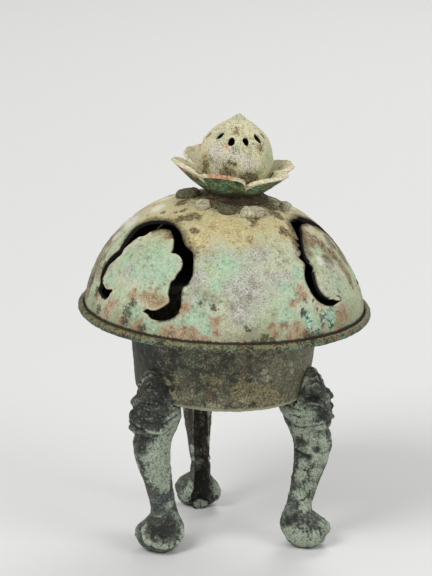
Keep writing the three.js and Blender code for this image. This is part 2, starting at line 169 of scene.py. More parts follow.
def movePoints(piece, points):
    piece.data.vertices.foreach_set("co", (points * mm).ravel())
    piece.data.update()


def keepValues(piece, name, values):  # for the finishes, which read them by name
    layer = piece.data.attributes.new(name, "FLOAT", "POINT")
    layer.data.foreach_set("value", np.ascontiguousarray(values, dtype=np.float32))


def fineCopy(nodeName, pieceName, voxel, smoothing):  # a node's shape on a fine, even mesh
    source = frame["nodes"][nodeName]
    piece = bpy.data.objects.new(pieceName, source.data.copy())
    piece.data.name = pieceName
    piece.matrix_world = source.matrix_world
    bpy.context.collection.objects.link(piece)
    only(piece)
    bpy.ops.object.transform_apply(location=True, rotation=True, scale=True)
    bpy.ops.object.mode_set(mode="EDIT")
    bpy.ops.mesh.select_all(action="SELECT")
    bpy.ops.mesh.remove_doubles(threshold=0.001 * mm)
    bpy.ops.object.mode_set(mode="OBJECT")
    if piece.data.has_custom_normals:
        bpy.ops.mesh.customdata_custom_splitnormals_clear()
    piece.data.materials.clear()
    applyModifier(piece, "REMESH", mode="VOXEL", voxel_size=voxel * mm, adaptivity=0)
    applyModifier(piece, "SMOOTH", factor=0.5, iterations=smoothing)
    return piece


# points for lines: evenly spaced, or rounded through given ones
def evenly(points, step):
    points = np.array(points, float)
    lengths = np.r_[0, np.cumsum(np.linalg.norm(np.diff(points, axis=0), axis=1))]
    count = max(2, int(round(lengths[-1] / step)) + 1)
    at = np.linspace(0, lengths[-1], count)
    return np.stack([np.interp(at, lengths, points[:, k]) for k in range(points.shape[1])], 1)


def rounded(points, closed, parts):
    points = np.array(points, float)
    count = len(points)
    spans = count if closed else count - 1
    line = []
    for i in range(spans):
        if closed:
            a, b, c, d = (points[(i + k) % count] for k in (-1, 0, 1, 2))
        else:
            a, b, c, d = (points[min(max(i + k, 0), count - 1)] for k in (-1, 0, 1, 2))
        for j in range(parts):
            t = j / parts
            line.append(0.5 * (2 * b + (c - a) * t + (2 * a - 5 * b + 4 * c - d) * t * t
                               + (3 * b - a - 3 * c + d) * t ** 3))
    if not closed:
        line.append(points[-1])
    return np.array(line)


def compass(angle, radius, z):  # 0 is the front, -Y, and grows towards +X
    turn = np.radians(angle)
    return np.stack(np.broadcast_arrays(radius * np.sin(turn), -radius * np.cos(turn), z), -1)


def spread(points, centres):  # 1 at a patch's centre, 0.5 at its radius, 0 at twice that
    field = np.zeros(len(points))
    for x, y, z, radius in centres:
        away = np.linalg.norm(points - (x, y, z), axis=1)
        field = np.maximum(field, 1 - away / (2 * radius))
    return field


def keepPatches(piece, patches, placeOf):  # each patch says where it is and then its radius
    points = pointsOf(piece)
    for name, places in patches.items():
        keepValues(piece, name, spread(points, [(*placeOf(*where), radius) for *where, radius in places]))


def soothed(piece, values, rounds):  # each value drawn towards the mean of its neighbours
    edges = np.empty(len(piece.data.edges) * 2, dtype=np.int32)
    piece.data.edges.foreach_get("vertices", edges)
    a, b = edges.reshape(-1, 2).T
    count = len(piece.data.vertices)
    ties = np.maximum(np.bincount(a, minlength=count) + np.bincount(b, minlength=count), 1)
    values = values.astype(float)
    for _ in range(rounds):
        for k in range(values.shape[1]):
            column = values[:, k]
            total = (np.bincount(a, weights=column[b], minlength=count)
                     + np.bincount(b, weights=column[a], minlength=count))
            values[:, k] = 0.35 * column + 0.65 * total / ties
    return values


def reliefOf(piece, rounds):  # above 0 on ridges, below 0 in hollows, in millimetres
    points = pointsOf(piece)
    return np.einsum("ij,ij->i", points - soothed(piece, points, rounds), normalsOf(piece))


def along(points, line):  # distance of each point from a line of points
    best = np.full(len(points), 1e9)
    for a, b in zip(line[:-1], line[1:]):
        step = b - a
        share = np.clip((points - a) @ step / max(step @ step, 1e-9), 0, 1)
        best = np.minimum(best, np.linalg.norm(points - a - share[:, None] * step, axis=1))
    return best


# cover
coverValues = {
    "radius": 70.0,
    "edge": 118.9,  # height of its edge
    "spring": 119.7,
    "height": 57.9,
    "shoulder": 1.63,
    "crown": 2.29,
    "wall": 2.0,
    "lean": -2.5,
    "passage": 5.3,  # hole for the finial's tube
    "finialShift": 3.0,
    "spinSteps": 300,
    "step": 0.95,  # between mesh rows outside, and inside
    "insideStep": 2.0,
    "roughness": [(22, 0.8), (4, 0.6), (1.6, 0.35)],  # size and depth
    "mirrorRise": 1.5,  # how much higher the patches are on the back
}
coverTop = coverValues["spring"] + coverValues["height"]

# cloud slots: along the surface from the middle line and above the cover's edge
leftSlot = [
    (-11.3, 15.8), (-12.2, 13.9), (-15.9, 11.3), (-19.4, 12.6), (-24.3, 14.4), (-23.8, 17.2),
    (-26.3, 19.9), (-26.9, 22.8), (-25.9, 27.0), (-23.6, 30.3), (-19.7, 33.9), (-20.0, 35.2),
    (-20.3, 38.0), (-20.2, 41.3), (-19.0, 44.6), (-14.8, 46.9), (-10.8, 48.4), (-5.7, 49.5),
    (-1.1, 50.1), (3.4, 49.9), (7.8, 48.9), (12.8, 47.0), (18.8, 43.4), (22.2, 42.1),
    (25.9, 40.4), (29.5, 35.9), (31.7, 31.6), (31.7, 27.6), (30.1, 26.4), (30.4, 24.1),
    (31.8, 20.3), (32.6, 17.1), (31.9, 14.0), (29.9, 11.9), (26.6, 10.4), (22.3, 9.7),
    (18.1, 10.0), (15.5, 11.8), (13.2, 12.5), (15.1, 14.3), (17.8, 14.1), (20.5, 14.7),
    (22.7, 16.3), (25.0, 18.2), (25.5, 19.7), (23.7, 22.4), (22.9, 25.2), (22.5, 27.9),
    (23.6, 29.2), (23.7, 31.6), (24.4, 33.9), (23.2, 36.6), (21.1, 38.2), (18.5, 39.2),
    (16.2, 39.3), (14.5, 39.5), (13.5, 41.9), (10.4, 45.0), (6.5, 47.1), (3.4, 47.5),
    (-0.6, 46.9), (-4.3, 45.3), (-6.8, 43.1), (-9.9, 41.6), (-13.0, 38.5), (-15.1, 35.2),
    (-15.0, 32.8), (-18.2, 29.5), (-21.1, 26.3), (-22.5, 22.9), (-23.1, 19.7), (-20.1, 17.9),
    (-15.9, 16.8), (-12.4, 17.8), (-10.1, 17.5),
]
rightSlotHalf = [
    (-0.5, 50.1), (-2.1, 50.2), (-6.5, 50.0), (-9.4, 48.7), (-14.0, 47.2), (-17.7, 45.5),
    (-22.1, 43.0), (-24.7, 40.1), (-26.7, 37.6), (-26.3, 35.6), (-27.2, 33.9), (-31.0, 31.1),
    (-33.8, 27.1), (-34.3, 22.8), (-33.1, 19.2), (-30.6, 16.7), (-27.3, 15.0), (-22.0, 14.5),
    (-17.8, 15.0), (-15.0, 15.5), (-14.8, 16.9), (-16.4, 18.1), (-19.2, 18.1), (-17.6, 17.8),
    (-16.2, 16.8), (-15.9, 16.1), (-17.3, 15.7), (-19.7, 16.4), (-20.6, 17.1), (-24.1, 17.8),
    (-26.3, 19.0), (-27.8, 20.7), (-28.4, 22.9), (-28.0, 25.7), (-26.1, 28.9), (-24.3, 31.0),
    (-21.8, 32.7), (-22.1, 34.5), (-22.5, 36.2), (-20.9, 38.6), (-18.1, 40.9), (-13.8, 43.5),
    (-8.3, 45.7), (-4.9, 47.2), (-1.2, 47.7),
]
# a spongy crust narrows the right slot near its top
rightSlotCrust = [(-13.6, 45.8), (-16.4, 43.7), (-18.2, 44.4), (-20.0, 41.5), (-21.8, 41.6), (-23.2, 39.0)]
rightSlot = (rightSlotHalf[:4] + rightSlotCrust + rightSlotHalf[8:]
             + [(-0.94 * u, h - 0.4) for u, h in reversed(rightSlotHalf)])
# the rear slot mirrors the left one, with crust on its right side
rearEdge = leftSlot[:7] + [(-24.2, 22.8), (-22.8, 26.6), (-20.0, 30.2)] + leftSlot[10:]
rearSlot = [(-u, h + 1.0) for u, h in reversed(rearEdge)]
slotValues = [(-46.5, leftSlot), (73.5, rightSlot), (195.0, rearSlot)]  # angle and outline


def coverRadiusAt(z):
    share = np.clip((z - coverValues["spring"]) / coverValues["height"], 0, 1)
    return coverValues["radius"] * (1 - share ** coverValues["shoulder"]) ** (1 / coverValues["crown"])


def leant(points, lean=coverValues["lean"]):  # pushed over to one side, most at the top
    share = (points[:, 2] - coverValues["edge"]) / (coverTop - coverValues["edge"])
    points = points.copy()
    points[:, 0] += lean * share
    return points


def overCover(points):  # height over the cover's outside and the way out, for points with the lean taken off
    away = np.hypot(points[:, 0], points[:, 1])
    out = away / coverValues["radius"]
    up = np.clip((points[:, 2] - coverValues["spring"]) / coverValues["height"], 0, 1)
    outSlope = coverValues["crown"] * out ** (coverValues["crown"] - 1) / coverValues["radius"]
    upSlope = coverValues["shoulder"] * up ** (coverValues["shoulder"] - 1) / coverValues["height"]
    steep = np.maximum(np.hypot(outSlope, upSlope), 0.005)
    height = (out ** coverValues["crown"] + up ** coverValues["shoulder"] - 1) / steep
    sideways = outSlope / np.maximum(away, 0.01)
    normals = np.stack([points[:, 0] * sideways, points[:, 1] * sideways, upSlope], 1) / steep[:, None]
    return height, normals


def onCover(angle, across, above, out):  # a place on the cover, moved out along its normal
    z = coverValues["edge"] + above
    radius = coverRadiusAt(z)
    slope = (coverRadiusAt(z - 0.1) - coverRadiusAt(z + 0.1)) / 0.2
    steep = np.hypot(1, slope)
    turn = angle + np.degrees(across / radius)
    return leant(compass(turn, radius + out / steep, z + out * slope / steep))


def coverSection():
    turns = np.linspace(0, math.pi / 2, 160)
    outside = np.stack([
        coverValues["radius"] * np.cos(turns) ** (2 / coverValues["crown"]),
        coverValues["spring"] + coverValues["height"] * np.sin(turns) ** (2 / coverValues["shoulder"]),
    ], 1)
    outside[-1] = (0, coverTop)
    outside = np.vstack([[coverValues["radius"], coverValues["edge"] + 0.3], outside])
    steps = np.gradient(outside, axis=0)
    normals = np.stack([steps[:, 1], -steps[:, 0]], 1)
    normals /= np.linalg.norm(normals, axis=1)[:, None]
    inside = outside - normals * coverValues["wall"]
    inside = inside[(inside[:, 0] > 0.4) & (inside[:, 1] > coverValues["edge"] + 1)]
    inside = np.vstack([[inside[0][0], coverValues["edge"] + 0.2], inside, [0, coverTop - coverValues["wall"]]])
    bottom = [(inside[0][0] + 0.4, coverValues["edge"]), (coverValues["radius"] - 0.4, coverValues["edge"])]
    return np.vstack([
        evenly(inside[::-1], coverValues["insideStep"]), bottom, evenly(outside, coverValues["step"])])


def slotCutter(angle, edge, depth=4.0):
    line = rounded(edge, True, 3)
    cutter = drawLine("slotCutter", [(u, h, -depth) for u, h in line])
    bpy.ops.mesh.select_all(action="SELECT")
    bpy.ops.mesh.edge_face_add()
    bpy.ops.mesh.quads_convert_to_tris(quad_method="BEAUTY", ngon_method="BEAUTY")
    bpy.ops.mesh.select_all(action="SELECT")
    bpy.ops.mesh.extrude_region_move(TRANSFORM_OT_translate={"value": (0, 0, 2 * depth * mm)})
    bpy.ops.mesh.select_all(action="SELECT")
    bpy.ops.mesh.normals_make_consistent(inside=False)
    bpy.ops.object.mode_set(mode="OBJECT")
    points = pointsOf(cutter)
    movePoints(cutter, onCover(angle, points[:, 0], points[:, 1], points[:, 2]))
    faceOut(cutter)
    return cutter


# patches of colour on the cover's front: angle, height and radius
# the unseen back mirrors them, a little higher
coverPatches = {
    "mint": [
        (-33, 151, 12), (-39, 130, 5), (-32, 126, 5), (-13, 133, 9), (-7, 127, 5), (-29, 143, 6), (-44, 148, 6),
        (-56, 151, 4), (38, 134, 3), (40, 128, 4), (50, 130, 4), (27, 134, 6), (39, 150, 4), (34, 141, 5),
        (2, 156, 6), (30, 144, 5), (26, 126, 3), (-60, 140, 4), (-3, 148, 4), (60, 140, 5), (-22, 130, 5),
    ],
    "rust": [
        (-54, 130, 3), (-56, 126, 3.4), (-66, 130, 2.2), (-36, 124, 3.6), (-22, 125, 4.2), (-17, 124, 4),
        (-12, 123, 4),
        (-7, 122, 2.4), (-16, 137, 3), (-20, 134, 2.4), (-3, 131, 2.6), (-3, 126, 2), (37, 144, 2.4),
        (38, 141, 2.6),
        (31, 138, 2.4), (34, 139, 1.8), (20, 129, 2.2), (25, 128, 2.2), (31, 126, 3.4), (28, 123, 2.6),
        (35, 123, 3),
        (21, 125, 2.2), (53, 122, 2.4), (60, 130, 3), (59, 126, 2.4), (8, 122, 1.6), (-46, 124, 2.4),
        (-62, 136, 2.4),
    ],
    "orange": [(-31, 138, 5.6), (-36, 138, 3), (-42, 138, 3), (-25, 137, 3), (-38, 164, 2.4), (-26, 160, 2),
               (-18, 135, 2.6), (56, 127, 2.4), (-70, 140, 3), (-66, 136, 2)],
    "dark": [
        (38, 138, 1.4), (35.5, 134, 1.6), (37, 122, 3), (41, 121.5, 2.4), (16, 123, 2.6), (20, 122, 1.8),
        (12, 122, 1.6),
        (-43, 129, 3), (-41, 134, 2.2), (-44, 125, 2.4), (-80, 134, 3.4), (-68, 132, 2.6), (-34, 124, 2.6),
        (-72, 144, 2), (-62, 125, 2.2), (51, 136, 1.2), (10, 128, 1.6), (-4, 137, 1.6), (-10, 139, 1.4),
    ],
    "ochre": [
        (-18, 165, 8.4), (-4, 170, 7.9), (-20, 168, 3.7), (-68, 168, 3.2), (-47, 171, 3.2), (9, 168, 7.9),
        (28, 170, 5.3), (48, 168, 4.7), (46, 165, 3.2), (100, 160, 3.2),
    ],
    "stain": [
        (-46, 173, 2.6), (-63, 171, 2.1), (-65, 165, 1.6), (-21, 168, 2.4), (58, 172, 3.7), (49, 166, 2.4),
        (70, 174, 3.2), (47, 167, 2.6), (-66, 175, 3.2), (0, 176, 4.7), (40, 176, 4.7),
        (-30, 172, 4.2), (-38, 171, 3.2), (34, 174, 4.2), (27, 172, 3.2),
    ],
    # umber: a real brown streak on the right; the patches on the left side are painted shade
    "umber": [
        (58, 161, 4.2), (64, 161, 4.4), (70, 158, 4.4), (74, 153, 4.4), (76, 147, 4), (77, 141, 3.6),
        (66, 152, 3.2),
        (84, 156, 5), (86, 148, 4), (54, 157, 2.6), (-96, 140, 9), (-92, 152, 8), (-88, 128, 8), (-80, 130, 4),
    ],
    "streak": [
        (56, 166, 2.6), (62, 165, 2.9), (66, 163, 3), (69, 160.5, 3), (71, 157.5, 2.9), (73, 154.5, 2.8),
        (74.5, 151.5, 2.7), (75.5, 148.5, 2.6), (76, 145.5, 2.5), (76.5, 142.5, 2.3), (76.5, 139, 2.1),
        (76, 135.5, 1.9),
        (58, 162, 1.8), (62, 160, 1.6), (86, 154, 2.2), (86, 158, 2), (87, 150, 2), (88, 146, 1.8), (-84, 150, 2),
    ],
    "lilac": [
        (4, 146, 6.3), (7, 159, 4.2), (-12, 150, 4.7), (-12, 141, 3.7), (-53, 157, 2.1), (-24, 154, 2.1),
        (20, 160, 6.3), (12, 145, 10), (26, 149, 4.2), (64, 150, 3.6), (32, 150, 2.6), (8, 137, 6), (-8, 160, 5),
        (-84, 165, 5), (-50, 148, 4),
    ],
    "pitted": [
        (-15, 149, 3.6), (-12, 144, 3.4), (-16, 141, 2.6), (-8, 142, 3), (-10, 137, 3), (-4, 141, 2.2), (4, 138, 3),
        (10, 141, 3.4), (14, 147, 2.4), (0, 147, 2), (22, 152, 2), (6, 132, 2.6), (12, 127, 3), (8, 124, 2.4),
        (-66, 146, 3), (-74, 138, 4),
    ],
    "pale": [
        (-96, 161, 4.7), (-78, 171, 4.2), (-96, 154, 3.2), (58, 153, 2.4), (101, 164, 3.2), (99, 170, 2.6),
    ],
    "flake": [(36, 132, 2.6), (38, 127, 2.6), (41, 123, 2.2), (46, 130, 2.4), (49, 126, 2.6), (51, 131, 1.8)],
    "sponge": [(56, 166.5, 1.5), (52.5, 165.2, 1.7), (50, 163.6, 1.7), (47.8, 161.6, 1.6), (46.6, 159.3, 1.0)],
    "violet": [(42, 138, 1.0), (43, 134, 1.1), (44, 130, 1.2), (44.5, 126, 1.3), (43.5, 122, 1.4), (46, 133, 0.9)],
}


def paintCover(piece):
    points = pointsOf(piece)
    upright = leant(points, -coverValues["lean"])
    for name, patches in coverPatches.items():
        centres = []
        for angle, z, radius in patches:
            for turned, height in ((angle, z), (180 - angle, z + coverValues["mirrorRise"])):
                centres.append((*compass(turned, coverRadiusAt(height), height), radius))
        keepValues(piece, name, spread(upright, centres))
    keepValues(piece, "inside", np.clip(-overCover(upright)[0] / coverValues["wall"], 0, 1))
    rims = []
    onPanel = []  # the half of each slot's edge that bounds its panel
    for angle, edge in slotValues:
        line = evenly(np.vstack([edge, edge[:1]]), 0.7)
        rims.append(onCover(angle, line[:, 0], line[:, 1], 0))
        middle = (line[:, 0].min() + line[:, 0].max()) / 2
        height = line[:, 1].max() - 2.4
        share = np.hypot((line[:, 0] - middle) / 26.5, (line[:, 1] - 24) / (height - 24))
        onPanel.append(share < 0.93)
    rims = np.vstack(rims)
    onPanel = np.concatenate(onPanel).astype(float)
    tree = KDTree(len(rims))
    for i, place in enumerate(rims):
        tree.insert(place, i)
    tree.balance()
    nearest = [tree.find(place) for place in points]  # each as place, index and distance
    keepValues(piece, "slotEdge", np.array([found[2] for found in nearest]))
    keepValues(piece, "panelSide", onPanel[[found[1] for found in nearest]])
    keepValues(piece, "crown", np.hypot(points[:, 0] - coverValues["finialShift"], points[:, 1]))


def makeCover():
    piece = spunPiece("coverDome", coverSection(), coverValues["spinSteps"])
    movePoints(piece, leant(pointsOf(piece)))
    for angle, edge in slotValues:
        cutAway(piece, slotCutter(angle, edge))
    bpy.ops.object.select_all(action="DESELECT")
    bpy.ops.mesh.primitive_cylinder_add(
        vertices=48, radius=coverValues["passage"] * mm, depth=12 * mm,
        location=(coverValues["finialShift"] * mm, 0, coverTop * mm))
    passage = bpy.context.object
    bpy.ops.object.transform_apply(location=True, rotation=True, scale=True)
    cutAway(piece, passage)
    applyModifier(piece, "TRIANGULATE")
    paintCover(piece)
    for size, depth in coverValues["roughness"]:
        roughen(piece, size, depth)
    smoothShaded(piece, 38)
    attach(piece, "lid")
    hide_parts("cover")
    return piece


coverDome = makeCover()
print("cover made:", len(coverDome.data.polygons), "faces")


# bowl, with its pan and the rolled lip
bowlValues = {
    "stand": 77.5,  # height of its underside
    "bottomRadius": 43.8,
    "mouthRadius": 47.6,
    "corner": 2.5,
    "wall": 2.4,
    "floor": 2.6,
    "panUnder": 115.9,
    "panTop": 118.6,
    "lipFoot": 117.1,
    "lipTop": 120.8,
    "lipRadius": 73.3,
    "lipInner": 70.5,
    "reach": 73.38,  # no lump of the casting stands further out
    "spinSteps": 288,
    "steps": {"flat": 2.4, "pan": 2.2, "inside": 1.4, "side": 0.9, "roll": 0.42},  # between mesh rows
    "roughness": [(26, 0.5), (3.2, 0.55), (1.3, 0.3)],
    "reliefRounds": 12,
}


def bowlSection():
    values = bowlValues
    steps = values["steps"]
    turns = np.linspace(0, math.pi / 2, 6)
    corner = [(values["bottomRadius"] - values["corner"] + values["corner"] * math.sin(t),
               values["stand"] + values["corner"] - values["corner"] * math.cos(t)) for t in turns]
    inner = values["bottomRadius"] - values["wall"]
    mouth = values["mouthRadius"] - values["wall"]
    floorTop = values["stand"] + values["floor"]
    under = evenly([(0, values["stand"]), corner[0]], steps["flat"])
    side = evenly([corner[-1], (values["mouthRadius"], values["panUnder"] - 1.2)], steps["side"])
    pan = evenly([(values["mouthRadius"] + 0.4, values["panUnder"] - 0.4),
                  (values["mouthRadius"] + 1.4, values["panUnder"]),
                  (values["lipInner"] - 0.5, values["lipFoot"] - 0.25)], steps["inside"])
    out, foot, top = values["lipRadius"], values["lipFoot"], values["lipTop"]
    roll = evenly(rounded([
        (values["lipInner"], foot - 0.1), (out - 1.1, foot), (out - 0.25, foot + 0.75), (out, foot + 1.7),
        (out - 0.15, foot + 2.6), (out - 0.75, top - 0.25), (out - 1.5, top),
        (values["lipInner"] + 0.5, top - 0.05),
        (values["lipInner"], top - 0.45),
    ], False, 6), steps["roll"])
    inside = np.vstack([
        [(values["lipInner"] - 0.05, values["panTop"] + 0.3), (values["lipInner"] - 0.4, values["panTop"])],
        evenly([(values["lipInner"] - 2, values["panTop"]), (mouth + 2.5, values["panTop"])], steps["pan"]),
        [(mouth + 0.9, values["panTop"] - 0.5), (mouth, values["panTop"] - 1.7)],
        evenly([(mouth - 0.1, values["panTop"] - 3), (inner, floorTop + 3)], steps["inside"]),
        [(inner - 0.4, floorTop + 1.2), (inner - 1.3, floorTop + 0.3)],
        evenly([(inner - 2.6, floorTop), (0, floorTop)], steps["flat"]),
    ])
    return np.vstack([under[:-1], corner, side[1:], pan, roll, inside])


def bowlRadiusAt(z):
    share = np.clip((z - bowlValues["stand"]) / (bowlValues["panUnder"] - bowlValues["stand"]), 0, 1)
    return bowlValues["bottomRadius"] + (bowlValues["mouthRadius"] - bowlValues["bottomRadius"]) * share


# where the bowl's colours lie: angle, height and radius of each patch
bowlPatches = {
    "blue": [(-52, 103, 6.0), (-60, 108, 6.0), (-44, 100, 4.5), (-70, 106, 5.0), (140, 100, 6.0)],
    "tan": [(12, 89, 5.0), (20, 86, 6.0), (30, 88, 5.0), (-4, 93, 3.5), (38, 82, 4.0), (26, 80, 4.5),
            (-34, 84, 3.0), (-30, 92, 2.6), (160, 90, 7.0), (-120, 96, 5.0)],
    "pale": [(27, 99, 1.8), (29, 95, 2.0), (-37, 90, 2.4), (-33, 83, 2.6), (14, 84, 1.6), (-6, 79.6, 3.0),
             (47, 100, 1.2), (49, 96, 1.2), (120, 94, 2.4), (-150, 88, 3.0), (200, 84, 3.0)],
    "green": [(-20, 104, 5.0), (-27, 96, 3.5), (50, 104, 3.5), (47, 96, 2.6), (-12, 86, 2.6), (2, 85, 2.4),
              (170, 104, 6.0), (-100, 100, 5.0)],
    "rust": [(-9, 86, 2.2), (-5, 83, 2.0), (13, 99, 2.4), (150, 84, 3.0)],
}


def makeBowl():
    piece = spunPiece("bowlCasting", bowlSection(), bowlValues["spinSteps"])
    for size, depth in bowlValues["roughness"]:
        roughen(piece, size, depth)
    points = pointsOf(piece)
    limit = bowlValues["reach"] / np.maximum(np.hypot(points[:, 0], points[:, 1]), bowlValues["reach"])
    points[:, :2] *= limit[:, None]
    movePoints(piece, points)
    keepPatches(piece, bowlPatches, lambda angle, z: compass(angle, bowlRadiusAt(z), z))
    keepValues(piece, "relief", reliefOf(piece, bowlValues["reliefRounds"]))
    smoothShaded(piece, 45)
    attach(piece, "stand")
    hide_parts("bowl")
    return piece


bowlCasting = makeBowl()
print("bowl made:", len(bowlCasting.data.polygons), "faces")


# finial: calyx, bud, collar and pads, a little to the right of the rim's centre
finialShift = coverValues["finialShift"]
calyxValues = {
    "hole": 5.3,
    "base": 180.3,  # underside of the calyx
    "flat": 12.5,  # radius of its flat foot
    "thickness": 1.8,
    "petalAngles": [-15, 45, 105, 165, 225, 285],
    "petalRadii": [30.2, 31.0, 28.9, 29.5, 30.5, 31.2],
    "petalHeights": [15.4, 12.2, 12.6, 14.0, 16.2, 15.4],
    "valleyRadius": 19.8,
    "valleyHeights": [7.4, 5.4, 10.0, 9.0, 9.0, 8.5],  # each on the lower-angle side of its petal
    "curls": [1.6, 0.25, 0.35, 0.4, 0.2, -0.2],  # how far each lip rolls outwards
    "spinSteps": 360,
    "rings": 28,
    "step": 0.9,
    "roughness": [(7, 0.45), (1.8, 0.28)],
    "reliefRounds": 10,
}
# where the calyx's colours lie: angle, distance from its middle, height and radius
calyxPatches = {
    "verdigris": [(-18, 22, 186, 4.5), (-10, 26, 191, 3.5), (22, 24, 187, 3.0), (-44, 22, 187, 2.5),
                  (70, 26, 190, 3),
                  (130, 24, 188, 5), (200, 24, 188, 5), (250, 24, 188, 4)],
    "rust": [(-24, 29.5, 194.4, 2.8), (-15, 30.8, 194, 3.0), (-6, 31, 193.8, 3.0), (-10, 30, 195.4, 3.0),
             (-2, 29.5, 195, 2.2), (-64, 29, 192, 2.6), (-52, 26, 189, 2.2), (-80, 31, 195, 1.8),
             (215, 30, 196, 2.0), (100, 29, 192, 1.6)],
}


def petalEdge(angle):  # radius, rise, curl and place between two valleys, -1 to 1
    values = calyxValues
    steps = ((angle - values["petalAngles"][0]) / 60 + 6.5) % 6
    petal = np.floor(steps).astype(int) % 6
    acrossPetal = (steps % 1) * 2 - 1
    full = (1 - np.abs(acrossPetal) ** 2.5) ** 0.72
    valley = np.array(values["valleyHeights"])[np.where(acrossPetal < 0, petal, (petal + 1) % 6)]
    radius = values["valleyRadius"] + (np.array(values["petalRadii"])[petal] - values["valleyRadius"]) * full
    rise = valley + (np.array(values["petalHeights"])[petal] - valley) * full
    return radius, rise, np.array(values["curls"])[petal] * full, acrossPetal


def makeCalyx():
    values = calyxValues
    disc = [(values["hole"] + i * values["step"], 0) for i in range(values["rings"] + 1)]
    piece = spunPiece("calyxCup", disc, values["spinSteps"])
    points = pointsOf(piece)
    share = (np.hypot(points[:, 0], points[:, 1]) - values["hole"]) / (values["rings"] * values["step"])
    angle = np.degrees(np.arctan2(points[:, 0], -points[:, 1]))
    edge, rise, curl, acrossPetal = petalEdge(angle)
    wave = 0.25 * np.sin(np.radians(angle) * 17) * share ** 3 + 0.1 * np.sin(np.radians(angle) * 41) * share ** 6
    radius = values["hole"] + (edge - values["hole"]) * share + wave
    climb = np.clip((radius - values["flat"]) / (edge - values["flat"]), 0, 1) ** 1.22
    z = values["base"] + 0.4 + rise * climb + 0.6 * np.abs(acrossPetal) ** 2 * share ** 2 * climb
    end = np.clip((share - 0.8) / 0.2, 0, 1)
    z -= curl * end ** 2 * 1.3
    radius += curl * end * 0.25
    movePoints(piece, compass(angle, radius, z) + (finialShift, 0, 0))
    applyModifier(piece, "SOLIDIFY", thickness=values["thickness"] * mm, offset=0.6)
    faceOut(piece)
    applyModifier(piece, "BEVEL", width=0.35 * mm, segments=2, limit_method="ANGLE", angle_limit=math.radians(50))
    for size, depth in values["roughness"]:
        roughen(piece, size, depth)
    points = pointsOf(piece) - (finialShift, 0, 0)
    keepValues(piece, "inner", np.clip(normalsOf(piece)[:, 2] * 3 + 0.2, 0, 1))
    away = np.hypot(points[:, 0], points[:, 1])
    turned = np.degrees(np.arctan2(points[:, 0], -points[:, 1]))
    keepValues(piece, "lip", np.clip(1 - (petalEdge(turned)[0] - away) / 3.0, 0, 1))
    keepPatches(piece, calyxPatches, lambda angle, out, z: compass(angle, out, z) + (finialShift, 0, 0))
    keepValues(piece, "relief", reliefOf(piece, values["reliefRounds"]))
    smoothShaded(piece, 50)
    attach(piece, "lid")
    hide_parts("calyx")
    return piece


budValues = {
    "base": 182.1,
    "radius": 18.5,
    "height": 36.6,
    "wall": 1.8,
    "lean": 1.0,  # how far the tip bends to the right
    # profile from foot to tip, as shares of the radius and height
    "profile": [(0.42, 0), (0.7, 0.06), (0.88, 0.16), (0.98, 0.28), (1, 0.385), (0.95, 0.53),
                (0.84, 0.66), (0.66, 0.765), (0.42, 0.86), (0.2, 0.932), (0.07, 0.983), (0, 1)],
    # vents: angle, share of the height, width, height and tilt
    "vents": [
        (-39, 0.745, 2.4, 4.8, 27), (-10, 0.695, 3.5, 4.9, 4), (18.5, 0.70, 3.1, 4.5, -3),
        (48.5, 0.715, 3.4, 6.0, -12), (71, 0.72, 2.2, 4.8, -14), (105, 0.70, 3.2, 4.4, 6),
        (136, 0.705, 2.8, 4.8, -10), (167, 0.70, 3.3, 4.6, 4), (198, 0.71, 2.6, 5.0, 14),
        (229, 0.70, 3.1, 4.3, -6), (259, 0.71, 3.0, 4.8, 10), (285, 0.70, 2.2, 4.6, 16),
    ],
    "ventSlant": 40,  # degrees that the bud's face leans back where the vents are
    "passage": 5.3,
    "spinSteps": 192,
    "step": 0.62,
    "insideStep": 1.3,
    "roughness": [(9, 0.6), (1.9, 0.5)],
    "reliefRounds": 8,
}
# where the bud's colours lie: angle, height and radius
budPatches = {
    "white": [(-36, 202, 4.5), (20, 196, 4.0), (-30, 191.5, 3.0), (6, 201, 2.6), (-10, 200, 2.6), (150, 198, 6),
              (230, 200, 6)],
    "green": [(62, 198, 4.5), (40, 192, 2.6), (-36, 210, 3.0), (2, 204.5, 1.8), (10, 217, 2.4), (75, 190, 4),
              (-22, 207, 1.6), (-6, 198.5, 1.6), (170, 206, 4), (120, 192, 5)],
    "tan": [(-54, 195.5, 4.0), (-12, 193.5, 4.4), (18, 190.5, 4.0), (28, 187, 4.6), (-62, 190, 4.4), (44, 204, 2.2),
            (0, 187, 3.5), (-40, 187, 3), (0, 212, 2.4), (200, 190, 6), (100, 204, 3)],
    "speckle": [(-53, 195.5, 3.4), (-12, 193.5, 4.0), (-2, 197.5, 1.8), (18, 190.5, 3.4), (48, 205, 1.8),
                (34, 190, 3),
                (-60, 190, 2.4), (200, 190, 4), (120, 196, 3)],
    "rust": [(-17, 205.5, 1.5), (-60, 199, 1.0), (-24, 190.5, 1.0)],
}


def budRadiusAt(z):
    radii, shares = zip(*budValues["profile"])
    return np.interp((z - budValues["base"]) / budValues["height"], shares, radii) * budValues["radius"]


